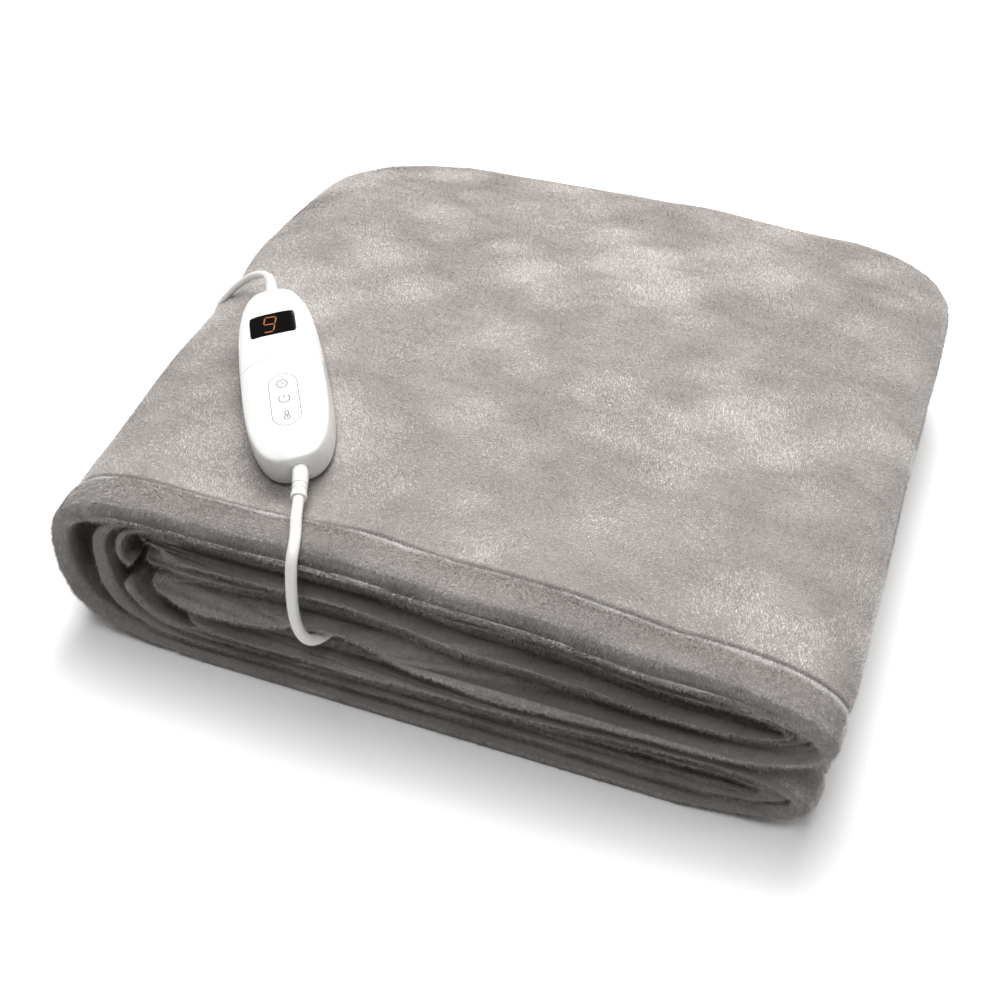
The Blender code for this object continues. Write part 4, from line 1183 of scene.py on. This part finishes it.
def folded_section():
    """The whole back-and-forth section, at its full width and height."""
    s = Section()
    left = RUN_LEFT
    right = RUN_RIGHT

    def at(name, side, x):
        return (x, face_height(name, side, x))

    # Outer sub-layer: hem end of the upper roll, over the top, round the left and underneath.
    s.run("between_rolls", 1, "hem_b", False)
    s.turn(at("between_rolls", 1, left), at("hem_b", -1, left), "b_hem_left")
    s.run("hem_b", -1, "hem_b", True)
    s.turn(at("hem_b", -1, right), at("hem_a", 1, right), "upper_outer_in", steps=ROLL_STEPS)
    s.run("hem_a", 1, "hem_a", False)
    s.turn(at("hem_a", 1, left), at("hem_d", -1, left), "wrap_outer_in", WRAP_POWER, WRAP_STEPS)
    s.run("hem_d", -1, "hem_d", True)
    s.turn(at("hem_d", -1, right), at("hem_c", 1, right), "lower_outer_in")
    s.run("hem_c", 1, "hem_c", False, HEM_SLOT_END)
    # Blind end of the slot where the third hem turns into the fold under it.
    s.turn(at("hem_c", 1, HEM_SLOT_END), at("hem_c", -1, HEM_SLOT_END), "hem_slot_end", steps=2)
    s.run("hem_c", -1, "fold_c", True, HEM_SLOT_END)
    s.turn(at("hem_c", -1, right), at("hem_d", 1, right), "lower_inner_out")
    s.run("hem_d", 1, "fold_d", False)
    s.turn(at("hem_d", 1, left), at("hem_a", -1, left), "wrap_mid_out", WRAP_POWER, WRAP_STEPS)
    s.run("hem_a", -1, "fold_a", True)
    s.turn(at("hem_a", -1, right), at("hem_b", 1, right), "upper_mid_out", steps=ROLL_STEPS)
    s.run("hem_b", 1, "under_b", False)
    # The two ends of the folded edge, one above the other.
    crease = (CREASE_PLACE, line_height("fold_b", left))
    s.turn(at("hem_b", 1, left), crease, "b_under_left")
    s.add(*crease)
    s.turn(crease, at("cavity_ab", -1, left), "b_fold_left")
    s.run("cavity_ab", -1, "fold_b", True)
    s.turn(at("cavity_ab", -1, right), at("cavity_ab", 1, right), "upper_cavity")
    s.run("cavity_ab", 1, "fold_a", False)
    # The innermost layer's free end hangs down round the ends of the layers under it.
    s.curl(INNER_CURL, INNER_CURL_HALF, "fold_a")
    s.run("fold_a", -1, "fold_a", True)
    s.turn(at("fold_a", -1, right), at("fold_b", 1, right), "upper_inner_out")
    s.run("fold_b", 1, "fold_b", False)
    s.turn(at("fold_b", 1, left), at("fold_b", -1, left), "fold_slot_end", steps=2)
    s.run("fold_b", -1, "under_b", True)
    s.turn(at("fold_b", -1, right), at("fold_a", 1, right), "upper_mid_in")
    s.run("fold_a", 1, "fold_a", False)
    s.turn(at("fold_a", 1, left), at("cavity_cd", -1, left), "wrap_mid_in", WRAP_POWER, WRAP_STEPS)
    s.run("cavity_cd", -1, "fold_d", True)
    s.turn(at("cavity_cd", -1, right), at("cavity_cd", 1, right), "lower_cavity")
    s.run("cavity_cd", 1, "fold_c", False)
    # The third fold curls up on the left, under the third hem's rounded end.
    s.curl(LOWER_CURL, LOWER_CURL_HALF, "fold_c")
    notch = (NOTCH_PLACE, face_height("hem_c", -1, left) + NOTCH_LIFT)
    s.add(*notch)
    s.turn(notch, at("between_rolls", -1, left), "c_hem_left")
    s.run("between_rolls", -1, "hem_c", True)
    s.turn(at("between_rolls", -1, right), (right, 0), "lower_out", outer=True)
    s.run("bottom", 0, "hem_d", False)
    s.turn((left, 0), at("top", 0, left), "block_left", WRAP_POWER, WRAP_STEPS, True)
    s.run("top", 0, "hem_a", True)
    s.turn(at("top", 0, right), at("between_rolls", 1, right), "block_right", steps=ROLL_STEPS, outer=True)
    return s.filled()


def seat_height(x, y):
    """Height of the controller's underside over (x, y)."""
    up = housing_frame().to_3x3() @ Vector((0, 0, 1))
    away = Vector((x, y, 0)) - HOUSING_CENTRE
    return HOUSING_CENTRE.z - (away.x * up.x + away.y * up.y) / up.z


def seat_share(x, y):
    """1 under the controller, falling to 0 in the free cloth round it."""
    along_housing = housing_frame().to_3x3() @ Vector((1, 0, 0))
    axis = Vector((along_housing.x, along_housing.y)).normalized()
    away = Vector((x - HOUSING_CENTRE.x, y - HOUSING_CENTRE.y))
    reach = HOUSING_LENGTH / 2 - HOUSING_FAR_WIDTH / 2
    nearest = axis * max(-reach, min(reach, away.dot(axis)))
    return (1 - blend(SEAT_REACH, SEAT_FADE, (away - nearest).length)) * blend(*SEAT_FRONT, y)


def top_height(x, y, seat):
    """Height of the block's top: crowned, lower towards its front, seated under the controller."""
    base = line_height("top", x)
    across = 1 - CROWN_RIGHT_DROP * blend(0, HALF_WIDTH, x)
    far = along(CROWN_FAR_PLACES, CROWN_FAR_DROPS, x)
    depth = blend(CROWN_START, CROWN_FULL, y) * (1 - far * blend(CROWN_FADE, HALF_DEPTH, y))
    height = base * (1 + CROWN * across * depth)
    left = blend(*LEFT_LIFT_NEAR, y) * (1 - blend(*LEFT_LIFT_FAR, y)) * blend(*LEFT_LIFT_SIDE, -x)
    height += LEFT_LIFT * left + RIGHT_LIFT * blend(*RIGHT_LIFT_NEAR, y) * blend(*RIGHT_LIFT_SIDE, x)
    return height + (seat_height(x, y) - PIECE_GAP * MM - height) * seat


def side_reach(x, y):
    """How much of the full width the block has at this depth, on the side where x lies."""
    depths = [row.y * MM for row in OUTLINE]
    reaches = [(row.left if x < 0 else row.right) * MM for row in OUTLINE]
    return along(depths, reaches, y) / HALF_WIDTH


def wave(x, y, z, length, seed):
    """Soft random swing between about -1 and 1, of one length."""
    return noise.noise(Vector((x / length + seed, y / length, z / length)))


def seam_shift(point):
    """How far the seam strays from its straight line at a point of the section."""
    return SEAM_WANDER * wave(point.x, 0, point.z, SEAM_WANDER_LENGTH, SEAM_SEED)


def ring(section, y):
    """The section's outline as it runs at one depth, with the soft unevenness of real cloth."""
    outline = []
    count = len(section)
    front = y + HALF_DEPTH
    behind = HALF_DEPTH - y
    border = 1 - blend(BORDER_FULL, BORDER_START, y)
    border *= blend(-HALF_DEPTH, -HALF_DEPTH + BORDER_ROUNDING, y)
    lip = max(0.0, 1 - front / LIP_LENGTH)
    forward = 1 - blend(-HALF_DEPTH, SEAM_PLACE, y)
    for number, point in enumerate(section):
        before = section[number - 1]
        after = section[(number + 1) % count]
        outward = Vector((before.z - after.z, after.x - before.x)).normalized()
        rounding = point.rounding * MM
        inset = rounding - math.sqrt(max(0.0, rounding ** 2 - max(0.0, rounding - front) ** 2))
        back_round = min(rounding, BACK_ROUNDING)
        inset += back_round - math.sqrt(max(0.0, back_round ** 2 - max(0.0, back_round - behind) ** 2))
        push = -inset
        if point.outer and point.z > 0:
            groove = math.exp(-((y - SEAM_PLACE - seam_shift(point)) / SEAM_SPREAD) ** 2)
            pucker = 1 + PUCKER_SHARE * wave(point.x, 0, point.z, PUCKER_LENGTH, PUCKER_SEED)
            push += BORDER_PUFF * border - SEAM_DEPTH * groove * pucker
        x = point.x + outward.x * push
        z = point.z + (outward.y * push if point.z > 0 else 0)
        tuck = TUCK_HALF_HEIGHT * (1 - blend(TUCK_FLAT, TUCK_REACH, abs(point.x - TUCK_PLACE)))
        z += point.tuck * tuck * (1 - blend(*TUCK_DEPTH, y))
        x *= side_reach(x, y)
        seat = seat_share(x, y)
        share = z / line_height("top", x)
        z = share * top_height(x, y, seat)
        if point.z > 0:
            loose = min(1.0, share) * (1 - seat)
            swell = Vector((x / WAVE_LENGTH, y / WAVE_DEPTH_LENGTH, z / WAVE_RISE_LENGTH))
            z += WAVE_HEIGHT * noise.noise(swell) * loose
            if point.outer:
                dimple = wave(x, y, z, DIMPLE_LENGTH, DIMPLE_SEED)
                z += DIMPLE_HEIGHT * dimple * loose * blend(*DIMPLE_FADE, share)
                z -= LIP_DROP * (1 - math.sqrt(1 - lip * lip)) * blend(*LIP_FADE, share)
        layer = point.back * LAYER_SHIFT
        wander = EDGE_WANDER * wave(x, 0, layer, EDGE_WANDER_LENGTH, point.back)
        wander += EDGE_RIPPLE * wave(x, 0, layer, EDGE_RIPPLE_LENGTH, RIPPLE_SEED)
        outline.append(Vector((x, y + (point.back * MM + abs(wander)) * forward, max(0, z))))
    return outline


def make_blanket(section):
    """The cloth as one closed mesh; for each face whether it is outside, and how far back its layer lies."""
    count = len(section)
    depths = [DEPTHS[0].start * MM]
    for stretch in DEPTHS:
        for step in range(1, stretch.steps + 1):
            depths.append((stretch.start + (stretch.end - stretch.start) * step / stretch.steps) * MM)
    rings = [ring(section, y) for y in depths]
    points, faces = skin(rings)
    faces = faces[:-2]
    outside = [section[face[0] % count].outer for face in faces]
    back = [section[face[0] % count].back * MM for face in faces]
    for first in (0, len(points) - count):
        flat = [Vector((p.x, p.z, 0)) for p in points[first:first + count]]
        for a, b, c in tessellate_polygon([flat]):
            faces.append((first + a, first + b, first + c))
            outside.append(False)
            back.append(0)
    blanket = body("fleece_blanket", [(points, faces)], fleece_knit, sharp=ALL_SMOOTH)
    return blanket, np.array(outside), np.array(back)


def zones(mesh, outside, back):
    """Triangles of the cloth with what the pile needs of them, and each triangle's zone."""
    mesh.calc_loop_triangles()
    count = len(mesh.loop_triangles)
    corner = np.empty(count * 3, np.int32)
    mesh.loop_triangles.foreach_get("vertices", corner)
    corner = corner.reshape(-1, 3)
    face = np.empty(count, np.int32)
    mesh.loop_triangles.foreach_get("polygon_index", face)
    places = np.empty(len(mesh.vertices) * 3)
    mesh.vertices.foreach_get("co", places)
    places = places.reshape(-1, 3)
    normals = np.empty(len(mesh.vertices) * 3)
    mesh.vertex_normals.foreach_get("vector", normals)
    normals = normals.reshape(-1, 3)
    middle = places[corner].mean(1)
    upward = normals[corner].mean(1)[:, 2]
    outer = outside[face]
    y = middle[:, 1]
    kept = middle[:, 2] > BLADE_FLOOR
    lip = y - back[face] < LIP_ZONE
    end = (y < END_ZONE) & (normals[corner].mean(1)[:, 1] < END_FACING)
    open_end = (middle[:, 0] < OPEN_END) & (y < OPEN_DEPTH)
    near = kept & np.where(outer, y < NEAR_ZONE, lip | end | open_end)
    far = kept & ~near & (y > BACK_ZONE)
    rest = kept & outer & ~near & ~far
    border = rest & (y < SEAM_PLACE) & (upward > FACING_UP)
    top = rest & ~border & (upward > FACING_UP)
    sides = rest & ~border & ~top & (upward > SIDE_LOWEST)
    named = {"near": near, "border": border, "top": top, "sides": sides, "back": far}
    return places, normals, corner, named


def nap(places, own):
    """Which way the pile was stroked: an angle that changes slowly over the cloth."""
    x, y, z = (places / NAP_LENGTH).T
    turn = sum(
        swing.share * np.sin(swing.along * x + swing.across * y + swing.up * z + swing.own * own)
        for swing in NAP_SWINGS
    )
    return NAP_SWING * turn + NAP_HEADING


def under_housing(places):
    """True where a place lies beneath or inside the controller."""
    inverse = np.array(housing_frame().inverted())
    local = places @ inverse[:3, :3].T + inverse[:3, 3]
    height = local[:, 2]
    reach = (np.abs(local[:, 0]) / (HOUSING_LENGTH / 2 - HOUSING_CLEAR)) ** HOUSING_CORNER_POWER
    across = (np.abs(local[:, 1]) / (HOUSING_NEAR_WIDTH / 2 - HOUSING_CLEAR)) ** HOUSING_CORNER_POWER
    return (reach + across < 1) & (height < HOUSING_HEIGHT * MM) & (height > -HOUSING_BELOW)


def unit(vectors):
    """The vectors of an array, each at length 1."""
    return vectors / np.maximum(np.linalg.norm(vectors, axis=1, keepdims=True), 1e-9)


def make_pile(cloth, tuft, draw):
    """Thin blades on one zone of the cloth, leaning the way that it was stroked."""
    places, normals, corner, named = cloth
    triangles = corner[named[tuft.zone]]
    sides = places[triangles]
    area = np.linalg.norm(np.cross(sides[:, 1] - sides[:, 0], sides[:, 2] - sides[:, 0]), axis=1)
    chosen = draw.choice(len(triangles), tuft.count, p=area / area.sum())
    shares = draw.random((tuft.count, 2))
    over = shares.sum(1) > 1
    shares[over] = 1 - shares[over]
    weights = np.column_stack([1 - shares.sum(1), shares])[:, :, None]
    root = (sides[chosen] * weights).sum(1)
    up = unit((normals[triangles[chosen]] * weights).sum(1))
    angle = nap(root, tuft.lean)
    stroked = np.column_stack([np.cos(angle), np.sin(angle), np.full(tuft.count, NAP_DROOP)])
    on_edge = tuft.zone in ("near", "border")
    seam = np.clip(1 - np.abs(root[:, 1:2] - SEAM_PLACE) / SEAM_REACH, 0, 1) if on_edge else 0
    if on_edge:
        stroked = stroked * EDGE_NAP + np.array(BORDER_STROKE) * (1 - seam) + np.array(SEAM_STROKE) * seam
    stroked += draw.normal(0, tuft.spread, stroked.shape)
    stroked = unit(stroked - up * (stroked * up).sum(1, keepdims=True))
    lean = np.radians(tuft.lean) + draw.normal(0, tuft.spread * LEAN_SPREAD, tuft.count)
    lean = np.clip(lean, *LEAN_LIMITS)[:, None] * (1 - SEAM_UPRIGHT * seam)
    direction = unit(up * np.cos(lean) + stroked * np.sin(lean))
    length = tuft.length * MM * draw.uniform(*LENGTH_SPREAD, tuft.count)[:, None]
    tip = root + direction * length
    tip[:, 2] = np.maximum(tip[:, 2], BLADE_FLOOR)
    turn = up + draw.normal(0, BLADE_TURN, up.shape)
    half_width = tuft.width * MM / 2 * draw.uniform(*WIDTH_SPREAD, tuft.count)[:, None]
    width = unit(np.cross(direction, turn)) * half_width
    root = root - up * ROOT_DEPTH
    root[:, 2] = np.maximum(root[:, 2], BLADE_FLOOR)
    corners = np.stack([root - width, root + width, tip], 1)
    nap_turn = 0 if on_edge else NAP_SHADING
    shading = unit(up + stroked * np.sin(lean) * nap_turn + draw.normal(0, tuft.scatter, up.shape))
    clear = ~under_housing(root) & ~under_housing(tip)
    # Feet darkened and tips lightened: painted shade and light along each blade
    shades = np.outer(pile_tones(tuft, root, on_edge), [tuft.root, tuft.root, TIP_SHADE])
    return blades_mesh(tuft.name, corners[clear], shading[clear], shades[clear])


def pile_tones(tuft, root, on_edge):
    """How light each blade is, by the clump and the row that it stands in and how deep it lies."""
    clumps = np.array([noise.noise(Vector(spot)) for spot in root / CLUMP_SPACING])
    tones = 1 + (EDGE_CLUMP_SHADE if on_edge else CLUMP_SHADE) * clumps
    if on_edge:
        spots = root / np.array([ROW_LENGTH, ROW_SPACING, ROW_SPACING])
        tones += ROW_SHADE * np.array([noise.noise(Vector(spot)) for spot in spots])
    # Painted shade between the layers, darker the further behind the front
    if tuft.zone == "near":
        tones *= 1 - DEEP_SHADE * np.clip((root[:, 1] + HALF_DEPTH) / DEEP_PLACE, 0, 1)
    return tones


def blades_mesh(name, corners, shading, shades):
    """Loose triangles as one mesh, lit as the cloth under them, with a map that gives each its own room."""
    count = len(corners)
    mesh = bpy.data.meshes.new(name)
    mesh.vertices.add(count * 3)
    mesh.vertices.foreach_set("co", corners.ravel())
    mesh.loops.add(count * 3)
    mesh.loops.foreach_set("vertex_index", np.arange(count * 3, dtype=np.int32))
    mesh.polygons.add(count)
    mesh.polygons.foreach_set("loop_start", np.arange(0, count * 3, 3, dtype=np.int32))
    shade = mesh.attributes.new("pile_shade", "FLOAT", "POINT")
    shade.data.foreach_set("value", shades.ravel())
    cells = math.ceil(math.sqrt(count / 2))
    cell = np.arange(count) // 2
    low = np.column_stack([cell % cells, cell // cells]) / cells
    flip = (np.arange(count) % 2)[:, None]
    room = np.array([[ROOM_START, ROOM_START], [ROOM_END, ROOM_START], [ROOM_START, ROOM_END]]) / cells
    spots = np.where(flip[:, :, None] == 1, 1 / cells - room, room) + low[:, None, :]
    layer = mesh.uv_layers.new(name=BAKE_MAP)
    layer.uv.foreach_set("vector", spots.ravel())
    mesh.update()
    mesh.validate()
    mesh.shade_smooth()
    mesh.normals_split_custom_set_from_vertices(np.repeat(shading, 3, axis=0).tolist())
    mesh.materials.append(fleece_pile)
    return add(name, mesh)


def seam_path(section):
    """The line of the border's seam over the block, from its left side to its right."""
    count = len(section)
    first = max(number for number in range(count) if not section[number].outer)
    outline = ring(section, SEAM_PLACE)
    over = [number for number in range(first + 1, count) if outline[number].z > STITCH_FLOOR]
    path = []
    for number in over:
        path.append(outline[number] + Vector((0, seam_shift(section[number]), 0)))
    return path


def make_stitches(section):
    """Thread of the border's lockstitch, lying in the seam's groove."""
    path = seam_path(section)
    lengths = [0.0]
    for a, b in zip(path, path[1:]):
        lengths.append(lengths[-1] + (b - a).length)

    def spot(away):
        number = min(len(path) - 2, max(0, sum(1 for length in lengths if length < away) - 1))
        share = (away - lengths[number]) / (lengths[number + 1] - lengths[number])
        step = path[number + 1] - path[number]
        return path[number] + step * share, Vector((-step.z, 0, step.x)).normalized()

    skins = []
    for stitch in range(int(lengths[-1] / STITCH_LENGTH)):
        centres = []
        for share, lift in STITCH_SHAPE:
            place, out = spot((stitch + share) * STITCH_LENGTH)
            centres.append(place + out * lift * MM)
        rings = []
        for number, centre in enumerate(centres):
            ahead = centres[min(number + 1, len(centres) - 1)] - centres[max(number - 1, 0)]
            side = ahead.cross(Vector((0, 1, 0))).normalized()
            top = side.cross(ahead).normalized()
            turns = [2 * math.pi * k / THREAD_SIDES for k in range(THREAD_SIDES)]
            rings.append([centre + (side * math.cos(t) + top * math.sin(t)) * THREAD_RADIUS for t in turns])
        skins.append(skin(rings))
    return body("border_lockstitch", skins, polyester_thread, sharp=ALL_SMOOTH)


def make_cloth():
    """The folded throw with its pile and its seam."""
    section = folded_section()
    blanket, outside, back = make_blanket(section)
    dress(blanket, "fleece", "blanket")
    cloth = zones(blanket.data, outside, back)
    draw = np.random.default_rng(SEED)
    on_it = [make_pile(cloth, tuft, draw) for tuft in PILE]
    on_it.append(make_stitches(section))
    for piece in on_it:
        dress(piece, "fleece")


# Studio


def make_studio():
    """Pale seamless floor and soft light from above."""
    paper, tree, shader = finish("pale_backdrop_paper", "#F4F4F4", Roughness=0.9, IOR=1.45)
    where = put(tree, "ShaderNodeTexCoord").outputs["Object"]
    fibre = put(tree, "ShaderNodeTexNoise", {"Scale": 1 / PAPER_FIBRE, "Detail": 2}, {"Vector": where})
    colour = two_tones(tree, fibre.outputs["Fac"], "#F2F2F2", "#F5F5F5")
    tree.links.new(colour, shader.inputs["Base Color"])
    corners = [(x * FLOOR_HALF, y * FLOOR_HALF) for x, y in ((-1, -1), (1, -1), (1, 1), (-1, 1))]
    heights = (-FLOOR_DROP - FLOOR_THICKNESS, -FLOOR_DROP)
    rings = [[Vector((x, y, z)) for x, y in corners] for z in heights]
    body("backdrop_floor", [skin(rings)], paper)
    world = bpy.data.worlds.new("studio_sky")
    bpy.context.scene.world = world
    world.use_nodes = True
    sky = world.node_tree.nodes["Background"]
    sky.inputs["Color"].default_value = (1, 1, 1, 1)
    sky.inputs["Strength"].default_value = SKY_STRENGTH
    for lamp in LAMPS:
        data = bpy.data.lights.new(lamp.name, "AREA")
        data.shape = "SQUARE"
        data.size = lamp.size
        data.energy = lamp.power
        light = add(lamp.name, data)
        light.location = lamp.place
        aim = LAMP_AIM - Vector(lamp.place)
        light.rotation_euler = aim.to_track_quat("-Z", "Y").to_euler()
    bpy.context.scene.view_settings.view_transform = "Standard"


set_camera()
make_cords()
make_controller()
make_cloth()
make_studio()
